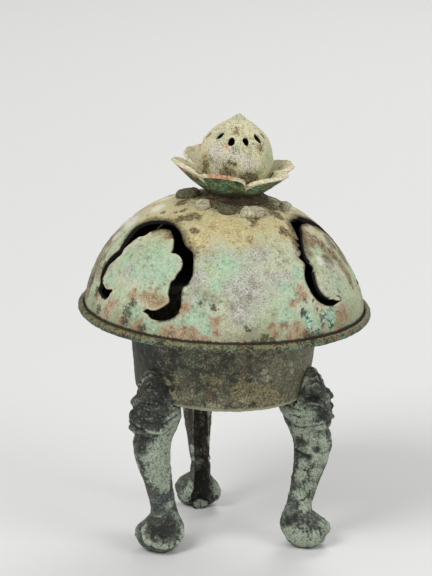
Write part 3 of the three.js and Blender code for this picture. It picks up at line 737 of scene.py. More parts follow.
def ventCutter(angle, share, width, height, tilt):
    bpy.ops.object.select_all(action="DESELECT")
    bpy.ops.mesh.primitive_cylinder_add(vertices=20, radius=0.5 * mm, depth=9 * mm)
    cutter = bpy.context.object
    points = pointsOf(cutter)
    ripple = 1 + 0.04 * np.sin(3 * np.arctan2(points[:, 1], points[:, 0]) + angle)
    points[:, :2] *= ripple[:, None]
    lean = math.radians(tilt)
    across = points[:, 0] * width
    above = points[:, 1] * height
    across, above = (across * math.cos(lean) + above * math.sin(lean),
                     above * math.cos(lean) - across * math.sin(lean))
    slant = math.radians(budValues["ventSlant"])
    z = budValues["base"] + share * budValues["height"]
    radius = budRadiusAt(z) + points[:, 2] * math.cos(slant) - above * math.sin(slant)
    z = z + points[:, 2] * math.sin(slant) + above * math.cos(slant)
    turn = math.radians(angle)
    sideways = np.array([math.cos(turn), math.sin(turn), 0])
    movePoints(cutter, compass(angle, radius, z) + across[:, None] * sideways)
    faceOut(cutter)
    return cutter


def makeBud():
    values = budValues
    outside = rounded([(r * values["radius"], values["base"] + s * values["height"])
                       for r, s in values["profile"]], False, 12)
    outside[:, 0] = np.maximum(outside[:, 0], 0)
    steps = np.gradient(outside, axis=0)
    normals = np.stack([steps[:, 1], -steps[:, 0]], 1) / np.linalg.norm(steps, axis=1)[:, None]
    inside = outside - normals * values["wall"]
    inside = inside[(inside[:, 0] > 0.6) & (inside[:, 1] > values["base"] + values["wall"])]
    inside = np.vstack([inside, [0, inside[-1][1] + 0.3]])
    hole = values["passage"]
    floor = [(inside[0][0] - 1, values["base"] + values["wall"]), (hole, values["base"] + values["wall"])]
    section = np.vstack([
        evenly(inside[::-1], values["insideStep"]), floor, [(hole, values["base"])],
        evenly([(hole + 0.9, values["base"]), outside[0]], 0.9)[:-1], evenly(outside, values["step"])])
    piece = spunPiece("lotusBud", section, values["spinSteps"])
    points = pointsOf(piece)
    up = np.clip((points[:, 2] - values["base"]) / values["height"], 0, 1)
    points[:, 0] += values["lean"] * np.clip((up - 0.6) / 0.4, 0, 1) ** 2
    movePoints(piece, points)
    for vent in values["vents"]:
        cutAway(piece, ventCutter(*vent))
    applyModifier(piece, "TRIANGULATE")
    movePoints(piece, pointsOf(piece) + (finialShift, 0, 0))
    for size, depth in values["roughness"]:
        roughen(piece, size, depth)
    points = pointsOf(piece)
    points[:, 2] = np.minimum(points[:, 2], values["base"] + values["height"] - 0.02)
    movePoints(piece, points)
    deep = budRadiusAt(points[:, 2]) - np.hypot(points[:, 0] - finialShift, points[:, 1])
    keepValues(piece, "inside", np.clip((deep - 0.35) / values["wall"], 0, 1))
    keepPatches(piece, budPatches, lambda angle, z: compass(angle, budRadiusAt(z), z) + (finialShift, 0, 0))
    keepValues(piece, "relief", reliefOf(piece, values["reliefRounds"]))
    smoothShaded(piece, 50)
    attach(piece, "lid")
    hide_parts("bud")
    return piece


collarValues = {
    "voxel": 0.5,
    "smoothing": 4,
    "roughness": [(6, 0.7), (1.8, 0.35)],
}


def makeCollar():
    piece = fineCopy("finial_collar", "collarMound", collarValues["voxel"], collarValues["smoothing"])
    for size, depth in collarValues["roughness"]:
        roughen(piece, size, depth)
    smoothShaded(piece, 60)
    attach(piece, "lid")
    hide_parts("finial_collar")
    return piece


padValues = {
    "voxel": 0.3,
    "smoothing": 3,
    "foot": 0.1,  # how high over the cover the sides start
    "side": 0.8,  # what lies this much higher in the solid reaches the flat top
    "rise": 3.0,  # the top's height over the foot
    "stretches": [1, 1, 1, 1, 1.9, 1],  # the pad on the left is drawn out towards the finial
    "roughness": [(3, 1.1), (1.1, 0.5)],
    "reliefRounds": 6,
}


def blockOut(piece, stretch):  # steep sides and a flat top, measured out from the cover
    upright = leant(pointsOf(piece), -coverValues["lean"])
    height, normals = overCover(upright)
    foot = padValues["foot"]
    share = np.clip((height - foot) / padValues["side"], 0, 1)
    raised = np.where(height > foot, foot + padValues["rise"] * share * share * (3 - 2 * share), height)
    feet = upright - normals * height[:, None]
    feet[:, 0] = feet[:, 0].min() + (feet[:, 0] - feet[:, 0].min()) * stretch
    out = np.minimum(np.hypot(feet[:, 0], feet[:, 1]) / coverValues["radius"], 1)
    up = (1 - out ** coverValues["crown"]) ** (1 / coverValues["shoulder"])
    feet[:, 2] = coverValues["spring"] + coverValues["height"] * up
    movePoints(piece, leant(feet) + normals * raised[:, None])


def makePads():
    pads = []
    for i in range(6):
        piece = fineCopy(f"foot_pad_{i + 1}", f"castPad{i + 1}", padValues["voxel"], padValues["smoothing"])
        blockOut(piece, padValues["stretches"][i])
        for size, depth in padValues["roughness"]:
            roughen(piece, size, depth)
        keepValues(piece, "relief", reliefOf(piece, padValues["reliefRounds"]))
        smoothShaded(piece, 60)
        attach(piece, "lid")
        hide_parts(f"foot_pad_{i + 1}")
        pads.append(piece)
    return pads


calyxCup = makeCalyx()
lotusBud = makeBud()
collarMound = makeCollar()
castPads = makePads()
print("finial made:", len(calyxCup.data.polygons), "and", len(lotusBud.data.polygons), "faces")


# legs: each is sculpted on a fine copy of its plain form, in strokes along lines on its skin
legValues = {
    "axis": 2.0,  # the strokes' upright axis, outwards from the bowl's bottom edge
    "voxel": 0.42,
    "legs": [("leg_left", -44.5, -6.5), ("leg_right", 71.5, 0.5), ("leg_rear", 195.0, -7.0)],
    "maskTurns": {"leg_left": -14, "leg_right": -18, "leg_rear": 0},  # degrees
    "maskFoot": 63.0,  # height above which the turn holds
    # how the masks' tops lean: degrees around the bowl, and rise
    "crests": {"leg_left": (-4, 1.5), "leg_right": (0, 0.4), "leg_rear": (0, 0)},
    "crestFoot": 78.0,
    "crestSpan": 15.0,
    "kneeHeight": 65.1,  # above this the splay of the foot stops
    "gap": 0.25,  # between the legs and the bowl
    "smoothing": 12,
    "reliefRounds": 14,
    "fineRounds": 5,
    # size, depth and, where the crust has a say, how rough the skin is without it
    "roughness": [(9, 1.0, None), (2.2, 0.65, 0.35), (1.0, 0.35, None)],
}

# strokes: points as angle from the front and height, then width and height of the stroke
# the first list is the large forms, the second the fine ones; all are mirrored
maskForms = [
    ([(0, 81), (0, 72)], 3.0, 1.0),
    ([(-5, 71.4), (5, 71.4)], 2.6, 0.3),
    ([(8, 80.4), (30, 83.6), (52, 82.4), (66, 80)], 2.5, 0.7),
    ([(18, 77), (40, 76), (62, 76.5)], 3.4, -1.0),
    ([(14, 69.8), (34, 69.6), (55, 69.2)], 2.6, 0.6),
    ([(0, 63.2)], 2.6, 0.5),
    ([(78, 72), (104, 73.4), (128, 74.6)], 2.6, 0.9),
    ([(0, 55), (0, 40), (0, 26)], 2.2, 0.5),
    ([(62, 50), (72, 38), (76, 25)], 1.8, -0.5),
    ([(13, 12)], 2.2, 0.5),
    ([(41, 11)], 2.2, 0.5),
    ([(66, 9.5)], 2.0, 0.3),
]
maskStrokes = [
    ([(30, 75.8), (40, 75.6), (50, 75.8)], 1.8, 0.7),
    ([(13, 71)], 1.5, 0.5),
    ([(9, 69.4)], 0.9, -0.6),
    ([(0, 66.8), (22, 67.2), (45, 65.8), (75, 64.4), (100, 65.4), (125, 68.2), (140, 71)], 1.0, -0.9),
    ([(20, 68.8), (45, 67.4), (75, 66.1), (105, 67.4), (130, 70.6)], 0.9, 0.6),
    ([(0, 64.6), (30, 65), (60, 63.4), (90, 62.8), (112, 64)], 1.2, 0.6),
    ([(12, 75.8), (22, 77.6), (40, 78.4), (56, 77.6), (70, 76.2)], 0.75, 0.65),
    ([(14, 75.2), (28, 73.8), (42, 73.4), (56, 74.2), (68, 75.6)], 0.75, 0.45),
    ([(14, 77.6), (26, 80.6), (42, 81.4), (60, 80.2)], 0.8, -0.7),
    ([(6, 84.6), (25, 87.2), (45, 86.4)], 0.9, 0.7),
    ([(5, 86.2), (22, 88.2), (42, 88.2)], 0.7, -0.5),
    ([(4, 88), (18, 90), (34, 89.4)], 0.9, 0.5),
    ([(0, 92.6), (9, 90.6), (12, 87.8), (3, 86)], 0.9, 0.6),
    ([(56, 87), (70, 83.4), (86, 79.4)], 1.4, 0.4),
    ([(66, 87), (78, 84), (92, 80)], 0.8, -0.35),
    ([(78, 70), (102, 71.2), (126, 73.4)], 0.8, -0.9),
    ([(80, 74), (104, 75), (124, 76)], 0.7, -0.8),
    ([(74, 68), (100, 69.4), (128, 72)], 0.9, 0.7),
    ([(12, 61.8), (16, 57.5)], 0.8, -0.5),
    ([(38, 62), (41, 57)], 0.8, -0.5),
    ([(64, 61), (66, 56)], 0.8, -0.5),
    ([(90, 61), (90, 56.5)], 0.8, -0.4),
    ([(25, 60.4), (28, 57.2)], 1.5, 0.4),
    ([(51, 60), (53, 56.6)], 1.5, 0.4),
    ([(0, 13), (0, 10), (0, 6.5)], 0.85, -1.0),
    ([(27, 13), (27, 10), (26, 6.2)], 0.85, -1.0),
    ([(53, 12), (54, 9), (53, 6)], 0.85, -0.8),
    ([(13, 6.9)], 1.1, 0.5),
    ([(40, 6.7)], 1.1, 0.5),
    ([(0, 3.2), (50, 3), (100, 3.4), (150, 4.4)], 1.3, 0.4),
]
# strokes that only one leg has, each on one side
ownStrokes = {
    "leg_left": [
        ([(54, 13), (66, 12)], 3.8, -2.5),
        ([(0, 14), (10, 9), (40, 5.5), (80, 5), (115, 8), (125, 14)], 1.5, 1.3),
        ([(20, 18.6), (50, 18.9), (75, 18.4)], 1.3, 1.1),
        ([(100, 50), (104, 42), (108, 34), (112, 24)], 0.8, 0.5),
    ],
    "leg_right": [
        ([(-112, 72), (-132, 73.5)], 2.0, 1.6),
        ([(-120, 51.5), (-95, 50.6), (-65, 49.2)], 0.9, -0.8),
        ([(-120, 53.4), (-95, 52.6), (-65, 51.4)], 1.1, 0.5),
        ([(-40, 13), (-58, 12)], 2.0, -0.6),
    ],
    "leg_rear": [
        ([(180, 21), (180, 12), (180, 2)], 5.8, -4.0),
        ([(118, 13), (112, 5)], 3.2, -1.8),
        ([(154, 30), (148, 22), (140, 14), (130, 4)], 1.3, 1.2),
        ([(-152, 30), (-146, 22), (-136, 14), (-124, 5)], 1.3, 1.5),
    ],
}

# patches of colour, as angle from the front, height and radius
legPatches = {
    "leg_left": {
        "crust": [(30, 54, 5.5), (60, 57, 7), (95, 58, 6.5), (55, 48, 7), (88, 49, 7), (50, 40.5, 5),
                  (88, 41, 5.5), (80, 35.5, 3.5), (100, 66, 5), (110, 72, 4.5), (75, 63, 3.2), (60, 66, 2.2),
                  (0, 13, 1.7), (8, 9.5, 1.7), (22, 7, 1.7), (40, 5.5, 1.7), (58, 5, 1.7), (76, 5, 1.7),
                  (94, 6, 1.8),
                  (110, 8, 2), (122, 12, 2.4), (130, 17, 2.2), (120, 24, 2.4),
                  (-40, 50, 6), (-70, 38, 5), (-60, 8, 6), (-100, 60, 5)],
        "brown": [(20, 86, 6), (60, 88, 5), (-30, 86, 6), (180, 40, 8), (180, 55, 8)],
        # the dark patches low on the foot, at heights 13 to 15, are painted shade in its hollow
        "dark": [(10, 62, 4), (10, 57, 3.2), (-20, 72, 7), (45, 13, 4), (75, 13, 4.4), (95, 15, 3.4),
                 (25, 13, 3.4), (20, 79, 5), (45, 82, 4.5), (12, 72, 4.5), (68, 86, 4), (30, 88, 4), (50, 73, 3)],
        "blue": [(70, 30, 4), (60, 26, 3.4), (85, 20, 3), (60, 82, 4), (90, 84, 4), (-80, 25, 5)],
    },
    "leg_right": {
        "crust": [(-30, 56, 5), (-65, 58, 5.5), (-100, 60, 5), (-50, 49, 4.5), (-20, 48, 4.5), (-80, 66, 4.5),
                  (-110, 70, 4), (-100, 74, 3.5), (-40, 66, 3), (-70, 72, 3.2), (-30, 40, 3.4), (-50, 32, 3),
                  (-60, 22, 3.4), (-94, 38, 3.2), (-80, 45, 3), (-96, 28, 3), (-40, 6, 5.5), (-80, 6, 5.5),
                  (-115, 8, 4.5), (0, 8, 5), (-90, 88, 2.6), (40, 52, 6), (70, 38, 5), (50, 8, 6), (100, 62, 5)],
        "brown": [(-20, 90, 4), (-5, 88, 4), (180, 40, 8), (180, 55, 8)],
        "dark": [(-100, 57, 2.6), (-85, 56.5, 2), (-42, 53.5, 1.8), (-90, 50.5, 2.6), (-60, 49, 2), (-30, 72, 3.4),
                 (-120, 14, 2.4), (-105, 16, 2), (-70, 82, 3), (-50, 80, 2.4), (30, 74, 6)],
        "blue": [(-104, 42, 3), (-108, 34, 3.2), (-112, 27, 3), (-100, 48, 3), (-90, 20, 2.4), (90, 30, 6)],
    },
    "leg_rear": {
        "crust": [(165, 22, 3), (-165, 22, 2.6), (140, 12, 4), (-140, 12, 4), (120, 6, 3), (0, 50, 8),
                  (50, 56, 6), (-50, 46, 6), (30, 8, 6), (-30, 8, 6), (140, 32, 2.2), (-140, 50, 2.0),
                  (-142, 36, 2.0)],
        "brown": [(180, 70, 10), (180, 60, 10), (180, 48, 10), (180, 36, 9), (180, 24, 7), (20, 86, 6)],
        "dark": [(180, 12, 5), (170, 6, 4), (190, 6, 4), (180, 2, 4.5), (170, 1, 3), (192, 1, 3), (0, 66, 6),
                 (40, 74, 5)],
        "blue": [(130, 50, 5), (-130, 60, 5), (125, 66, 5), (-125, 34, 5), (60, 30, 6)],
    },
}


def legTurned(points, degrees):
    turn = math.radians(degrees)
    x = points[:, 0] * math.cos(turn) - points[:, 1] * math.sin(turn)
    y = points[:, 0] * math.sin(turn) + points[:, 1] * math.cos(turn)
    return np.stack([x, y, points[:, 2]], 1)


class LegSkin:  # finds places on one leg's skin by angle and height
    def __init__(self, piece, angle, splay, maskTurn):
        self.piece = piece
        self.maskTurn = maskTurn
        self.turn = angle - 90
        self.splay = splay
        self.learn()

    def learn(self):  # again after each change of the skin
        vertices = [Vector(p) for p in legTurned(pointsOf(self.piece), -self.turn)]
        self.tree = BVHTree.FromPolygons(vertices, [tuple(f.vertices) for f in self.piece.data.polygons])

    def place(self, angle, z):
        stand = self.splay * max(0, 1 - z / legValues["kneeHeight"])
        axis = Vector((bowlValues["bottomRadius"] + legValues["axis"] + stand, 0, z))
        turn = math.radians(angle)
        outward = Vector((math.cos(turn), math.sin(turn), 0))
        hit = self.tree.ray_cast(axis + outward * 40, -outward)[0]
        return np.array(hit if hit else axis + outward * 8)

    def line(self, points):
        points = [(angle + (self.maskTurn if z > legValues["maskFoot"] else 0), z) for angle, z in points]
        if len(points) == 1:
            spot = self.place(*points[0])
            return np.array([spot, spot + (0, 0, 0.01)])
        return np.array([self.place(*p) for p in rounded(points, False, 4)])

    def stroke(self, strokes, mirrored=True):
        local = legTurned(pointsOf(self.piece), -self.turn)
        normals = legTurned(normalsOf(self.piece), -self.turn)
        for points, width, height in strokes:
            sides = (1, -1) if mirrored and any(angle != 0 for angle, _ in points) else (1,)
            for side in sides:
                line = self.line([(side * angle, z) for angle, z in points])
                low, high = line.min(0) - 2.6 * width, line.max(0) + 2.6 * width
                near = np.nonzero(np.all((local > low) & (local < high), axis=1))[0]
                if len(near) == 0:
                    continue
                fall = np.exp(-(along(local[near], line) / width) ** 2)
                local[near] += normals[near] * (height * fall)[:, None]
        movePoints(self.piece, legTurned(local, self.turn))
        self.learn()

    def patches(self, places):
        centres = [(*self.place(angle, z), radius) for angle, z, radius in places]
        return spread(legTurned(pointsOf(self.piece), -self.turn), centres)


def clearOfBowl(piece):
    points = pointsOf(piece)
    away = np.hypot(points[:, 0], points[:, 1])
    wall = bowlRadiusAt(points[:, 2]) + legValues["gap"]
    under = bowlValues["stand"] - legValues["gap"]
    inside = (points[:, 2] > under) & (away < wall)
    outwards = inside & (wall - away < points[:, 2] - under)
    points[outwards, :2] *= (wall / away)[outwards, None]
    below = inside & ~outwards
    points[below, 2] = under
    points[:, 2] = np.maximum(points[:, 2], 0)
    movePoints(piece, points)


def movedCrest(piece, turn, rise):  # the mask's top leans to one side on the bowl
    points = pointsOf(piece)
    share = np.clip((points[:, 2] - legValues["crestFoot"]) / legValues["crestSpan"], 0, 1) ** 1.5
    angles = np.arctan2(points[:, 1], points[:, 0]) + np.radians(turn) * share
    away = np.hypot(points[:, 0], points[:, 1])
    movePoints(piece, np.stack([away * np.cos(angles), away * np.sin(angles), points[:, 2] + rise * share], 1))


def makeLeg(nodeName, angle, splay):
    piece = fineCopy(nodeName, nodeName.replace("leg_", "lionLeg_"), legValues["voxel"], legValues["smoothing"])
    movedCrest(piece, *legValues["crests"][nodeName])
    skin = LegSkin(piece, angle, splay, legValues["maskTurns"][nodeName])
    skin.stroke(maskForms)
    skin.stroke(maskStrokes)
    skin.stroke(ownStrokes[nodeName], False)
    applyModifier(piece, "SMOOTH", factor=0.5, iterations=3)
    relief = reliefOf(piece, legValues["reliefRounds"])
    patches = legPatches[nodeName]
    crust = skin.patches(patches["crust"])
    for size, depth, bare in legValues["roughness"]:
        roughen(piece, size, depth, None if bare is None else np.clip(bare + crust, 0, 1))
    clearOfBowl(piece)
    dark = skin.patches(patches["dark"])  # where it is dark, the ridges are too
    keepValues(piece, "relief", relief - 0.5 * dark)
    keepValues(piece, "fineRelief", reliefOf(piece, legValues["fineRounds"]) - 0.07 * dark)
    keepValues(piece, "crust", crust)
    keepValues(piece, "dark", dark)
    for name in ("brown", "blue"):
        keepValues(piece, name, skin.patches(patches[name]))
    smoothShaded(piece, 60)
    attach(piece, "stand")
    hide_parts(nodeName)
    return piece


lionLegs = [makeLeg(*values) for values in legValues["legs"]]
print("legs made:", [len(leg.data.polygons) for leg in lionLegs], "faces")


# finishes: shader maths is written as sums on wrapped sockets, and each finish has its values in front of it
# grains are noises, each with its size in millimetres, its seed and its detail
# a bump has its strength and its height in millimetres
# a patch has how far noise tears its edge, how soft the edge is, the coat's share and its colour
# colours are as they look, 0 to 255; in a list of stops each comes after the place where it holds
def tone(red, green, blue):
    return tuple(((part / 255 + 0.055) / 1.055) ** 2.4 for part in (red, green, blue)) + (1.0,)


class Wire:
    def __init__(self, paint, socket):
        self.paint = paint
        self.socket = socket

    def maths(self, operation, first, second):
        return self.paint.node("ShaderNodeMath", {"operation": operation}, {0: first, 1: second})

    def __add__(self, other):
        return self.maths("ADD", self, other)

    def __radd__(self, other):
        return self.maths("ADD", other, self)

    def __sub__(self, other):
        return self.maths("SUBTRACT", self, other)

    def __rsub__(self, other):
        return self.maths("SUBTRACT", other, self)

    def __mul__(self, other):
        return self.maths("MULTIPLY", self, other)

    def __rmul__(self, other):
        return self.maths("MULTIPLY", other, self)


class Paint:  # one material, built up from a ground in thin coats
    def __init__(self, name, values):
        self.values = values
        self.material = bpy.data.materials.new(name)
        self.material.use_nodes = True
        self.tree = self.material.node_tree
        self.shader = self.tree.nodes["Principled BSDF"]
        self.shader.inputs["Metallic"].default_value = values["metallic"]
        self.place = self.node("ShaderNodeTexCoord", output=3)  # the piece's own place, in metres
        self.colour = None
        self.grains = [self.noise(*grain) for grain in values["grains"]]

    def node(self, kind, settings=None, values=None, output=0):
        node = self.tree.nodes.new(kind)
        for key, value in (settings or {}).items():
            if key == "stops":
                ramp = node.color_ramp
                ramp.elements[0].position, ramp.elements[0].color = value[0]
                ramp.elements[1].position, ramp.elements[1].color = value[-1]
                for position, colour in value[1:-1]:
                    ramp.elements.new(position).color = colour
            else:
                setattr(node, key, value)
        for key, value in (values or {}).items():
            if isinstance(value, Wire):
                self.tree.links.new(value.socket, node.inputs[key])
            else:
                node.inputs[key].default_value = value
        return Wire(self, node.outputs[output])

    def noise(self, size, seed, detail=3.0, stretch=(1, 1, 1)):
        steps = tuple(1 / (size * mm * part) for part in stretch)
        scaled = self.node("ShaderNodeVectorMath", {"operation": "MULTIPLY"}, {0: self.place, 1: steps})
        shift = (seed, 2.3 * seed, 5.1 * seed)
        moved = self.node("ShaderNodeVectorMath", {"operation": "ADD"}, {0: scaled, 1: shift})
        return self.node("ShaderNodeTexNoise", None, {
            "Vector": moved, "Scale": 1.0, "Detail": detail, "Roughness": 0.6})

    def placeOn(self, axis):  # 0, 1 or 2 for x, y or z, in millimetres
        return self.node("ShaderNodeSeparateXYZ", None, {0: self.place}, axis) * (1 / mm)

    def kept(self, name):  # a value stored on the piece's points
        return self.node("ShaderNodeAttribute", {"attribute_name": name}, None, 2)

    def between(self, value, low, high):  # 0 at low, 1 at high
        return self.node("ShaderNodeMapRange", {"interpolation_type": "SMOOTHSTEP"}, {
            "Value": value, "From Min": low, "From Max": high})

    def patch(self, name, ragged, spread, soft):  # a stored patch with an edge torn by noise
        return self.between(self.kept(name) + (ragged - 0.5) * spread, 0.5 - soft, 0.5 + soft)

    def mottle(self, grain, stops):  # a colour that varies with a grain
        stops = [(position, tone(*colour)) for position, *colour in stops]
        return self.node("ShaderNodeValToRGB", {"stops": stops}, {0: grain})

    def ground(self, grain):
        self.colour = self.mottle(grain, self.values["ground"])

    def cover(self, colour, share, grain):
        colour = tone(*colour) if grain is None else self.mottle(grain, colour)
        self.colour = self.node("ShaderNodeMix", {"data_type": "RGBA"}, {0: share, 6: self.colour, 7: colour}, 2)

    def coat(self, name, share, grain=None):
        self.cover(self.values["coats"][name], share, grain)

    def patchCoat(self, name, ragged, grain=None):
        spread, soft, share, colour = self.values["patches"][name]
        self.cover(colour, self.patch(name, ragged, spread, soft) * share, grain)

    def finish(self, height, swing=None):  # bumps, and how the roughness swings
        strength, distance = self.values["bump"]
        bump = self.node("ShaderNodeBump", None, {"Height": height, "Strength": strength, "Distance": distance * mm})
        self.tree.links.new(self.colour.socket, self.shader.inputs["Base Color"])
        self.tree.links.new(bump.socket, self.shader.inputs["Normal"])
        self.shader.inputs["Roughness"].default_value = self.values["roughness"]
        if swing is not None:
            roughness = self.values["roughness"] + swing
            self.tree.links.new(roughness.socket, self.shader.inputs["Roughness"])
        return self.material


coverPaint = {
    "metallic": 0.0,
    "grains": [(15, 3), (4.5, 11, 4), (1.5, 5), (0.8, 7, 2)],  # broad, middle, fine, grit
    "ground": [
        (0.38, 124, 128, 96), (0.44, 164, 170, 138), (0.49, 202, 202, 176), (0.53, 168, 184, 150),
        (0.58, 206, 194, 164), (0.66, 136, 140, 106),
    ],
    "roughness": 0.86,
    "bump": (0.55, 0.5),
    "patches": {
        "lilac": (1.6, 0.4, 0.7, [(0.41, 98, 92, 86), (0.49, 178, 172, 170), (0.6, 216, 210, 208)]),
        "pitted": (3.2, 0.3, 0.6, [(0.42, 88, 82, 72), (0.52, 150, 144, 130)]),
        "mint": (2.6, 0.3, 0.68, [(0.4, 128, 166, 140), (0.48, 160, 196, 166), (0.58, 180, 204, 176)]),
        "umber": (2.4, 0.3, 0.88, [(0.42, 72, 58, 36), (0.5, 112, 96, 68), (0.6, 156, 140, 108)]),
        "ochre": (1.2, 0.35, 0.85, [(0.4, 150, 132, 84), (0.5, 196, 178, 124), (0.6, 216, 202, 152)]),
        "pale": (1.0, 0.25, 0.8, (222, 219, 206)),
        "stain": (2.2, 0.15, 0.9, [(0.42, 54, 44, 22), (0.5, 88, 76, 42), (0.6, 140, 122, 76)]),
        "streak": (2.6, 0.25, 0.88, [(0.42, 74, 58, 32), (0.5, 116, 96, 62), (0.6, 172, 152, 116)]),
        "orange": (3.4, 0.2, 0.78, [
            (0.42, 104, 68, 40), (0.48, 166, 118, 76), (0.55, 184, 158, 116), (0.6, 92, 82, 48)]),
        "rust": (3.4, 0.2, 0.8, [(0.4, 112, 76, 56), (0.5, 158, 110, 84), (0.62, 184, 148, 118)]),
        "violet": (1.4, 0.08, 1.0, [(0.42, 74, 56, 50), (0.58, 122, 96, 88)]),
        "dark": (3.2, 0.16, 0.85, [(0.42, 34, 30, 20), (0.6, 76, 70, 50)]),
        "sponge": (1.2, 0.15, 1.0, [(0.43, 24, 20, 12), (0.47, 116, 98, 66), (0.58, 190, 172, 132)]),
    },
    "coats": {
        "greenClouds": (166, 192, 150),
        "lowShade": (132, 132, 98),
        "topShade": (200, 182, 128),
        "crownStainAndShadow": [(0.42, 46, 38, 16), (0.5, 80, 68, 34), (0.6, 112, 98, 54)],
        "turquoise": [(0.42, 118, 166, 148), (0.55, 172, 214, 190)],
        "seams": (56, 56, 48),
        "darkSpeckle": (96, 90, 66),
        "paleSpeckle": (228, 224, 204),
        "slotHalo": [(0.42, 62, 50, 26), (0.58, 112, 94, 54)],
        "panelEdgeHighlight": (206, 188, 156),
        "outerEdge": (58, 48, 28),
        "sootAndShade": (11, 10, 8),
        "seatShade": (34, 29, 20),
    },
}


def coverFinish():
    paint = Paint("coverPatina", coverPaint)
    broad, middle, fine, grit = paint.grains
    z = paint.placeOn(2)
    slotEdge = paint.kept("slotEdge")
    panelSide = paint.kept("panelSide")
    crown = paint.kept("crown")
    paint.ground(broad * 0.35 + middle * 0.4 + fine * 0.25)
    paint.coat("greenClouds", paint.between(paint.noise(24, 71) + (middle - 0.5) * 0.4, 0.47, 0.58) * 0.4)
    paint.coat("lowShade", paint.between(z + (broad - 0.5) * 20, 139, 121) * 0.66)
    paint.patchCoat("lilac", broad, grit)
    paint.patchCoat("pitted", fine * 0.7 + middle * 0.3, grit * 0.5 + fine * 0.5)
    paint.patchCoat("mint", middle * 0.7 + fine * 0.3, fine * 0.6 + grit * 0.4)
    # umber stain on the right, painted shade on the dome's left side
    paint.patchCoat("umber", middle * 0.6 + fine * 0.4, fine * 0.5 + grit * 0.5)
    paint.patchCoat("ochre", middle, fine)
    paint.coat("topShade", paint.between(z + (middle - 0.5) * 14, 158, 170) * 0.62)
    paint.patchCoat("pale", middle)
    # brown streaks that follow the slots, and the stain around the finial's foot, with the calyx's shadow painted
    # into it
    paint.patchCoat("stain", middle, fine)
    lengthwise = paint.noise(1.6, 74, 3, (1, 1, 4))
    paint.patchCoat("streak", lengthwise * 0.5 + middle * 0.5, lengthwise)
    # stain around the finial's foot, darkened further by a painted shadow of the calyx
    paint.coat("crownStainAndShadow", paint.between(crown + (middle - 0.5) * 34, 25, 20.5) * 0.94, fine)
    paint.patchCoat("orange", fine * 0.5 + middle * 0.5, fine * 0.5 + grit * 0.5)
    paint.patchCoat("rust", fine * 0.5 + middle * 0.5, fine)
    # flaked patch on the right: turquoise islands in dark seams, a brown-violet run down its middle
    cells = {"Vector": paint.place, "Scale": 330.0}
    seams = paint.node("ShaderNodeTexVoronoi", {"feature": "DISTANCE_TO_EDGE"}, cells)
    flaky = paint.patch("flake", middle, 1.2, 0.12)
    paint.coat("turquoise", flaky * 0.9, fine)
    paint.coat("seams", flaky * paint.between(seams + (fine - 0.5) * 0.35, 0.12, 0.02))
    paint.patchCoat("violet", fine, fine)
    paint.patchCoat("dark", fine * 0.6 + middle * 0.4, grit)
    # speckle over everything
    paint.coat("darkSpeckle", paint.between(grit + (middle - 0.5) * 0.7, 0.56, 0.66) * 0.55)
    paint.coat("paleSpeckle", paint.between(paint.noise(1.0, 21, 2) + (broad - 0.5) * 0.3, 0.57, 0.68) * 0.28)
    paint.patchCoat("sponge", fine, grit * 0.5 + fine * 0.5)
    # slot edges: brown above, cream along the panels as a painted highlight, soot and painted shade in the cut and
    # under the cover
    halo = paint.between(slotEdge + (middle - 0.5) * 9, 4.4, 0.6) * paint.between(z + (broad - 0.5) * 12, 150, 163)
    paint.coat("slotHalo", halo * (1 - panelSide) * 0.85, fine)
    # painted highlight: a thin cream line along the panels' edges
    paint.coat("panelEdgeHighlight", paint.between(slotEdge + (fine - 0.5) * 1.8, 1.2, 0.4) * panelSide * 0.45)
    paint.coat("outerEdge", paint.between(slotEdge + (fine - 0.5) * 2.4, 1.2, 0.3) * (1 - panelSide) * 0.8)
    # soot and painted shade inside the cover and on the slot walls
    inside = paint.kept("inside")
    cut = paint.between(inside, 0.02, 0.07) * (1 - panelSide) + paint.between(inside, 0.45, 0.7) * panelSide
    paint.coat("sootAndShade", cut)
    paint.coat("seatShade", paint.between(z + (fine - 0.5) * 1.6, 122.1, 121.5) * 0.92)
    return paint.finish(fine * 0.6 + grit * 0.4)


bowlPaint = {
    "metallic": 0.12,
    "grains": [(14, 4), (3.6, 9, 4), (1.2, 6), (0.7, 2, 2)],  # broad, middle, fine, grit
    "ground": [
        (0.37, 28, 30, 22), (0.45, 54, 54, 40), (0.5, 80, 78, 60), (0.55, 108, 104, 82),
        (0.64, 138, 134, 106),
    ],
    "roughness": 0.62,
    "bump": (0.6, 0.5),
    "patches": {
        "blue": (1.4, 0.3, 0.7, (50, 52, 66)),
        "green": (1.6, 0.22, 0.55, (88, 104, 78)),
        "tan": (2.6, 0.25, 0.75, [(0.42, 84, 76, 42), (0.5, 128, 118, 76), (0.6, 164, 154, 112)]),
        "rust": (2.8, 0.25, 0.45, (104, 66, 42)),
        "pale": (2.2, 0.16, 0.75, [(0.42, 120, 120, 96), (0.6, 184, 182, 152)]),
    },
    "coats": {
        "rightSide": [(0.42, 84, 82, 60), (0.58, 138, 134, 104)],
        "darkSpeckle": (22, 22, 16),
        "paleSpeckle": (168, 168, 138),
        "ridges": (158, 160, 130),
        "leftSide": (26, 28, 18),
        "bottomEdge": (170, 168, 136),
        "lip": [(0.41, 34, 30, 12), (0.48, 92, 86, 54), (0.55, 136, 134, 98), (0.62, 76, 80, 50)],
        "lipUnderShade": [(0.42, 34, 34, 20), (0.5, 68, 66, 42), (0.6, 112, 116, 84)],
        "lipGreen": (104, 146, 128),
        "lipRust": (156, 112, 56),
        "lipSpeckle": (60, 54, 32),
        "sootAndShade": (34, 31, 26),
    },
}


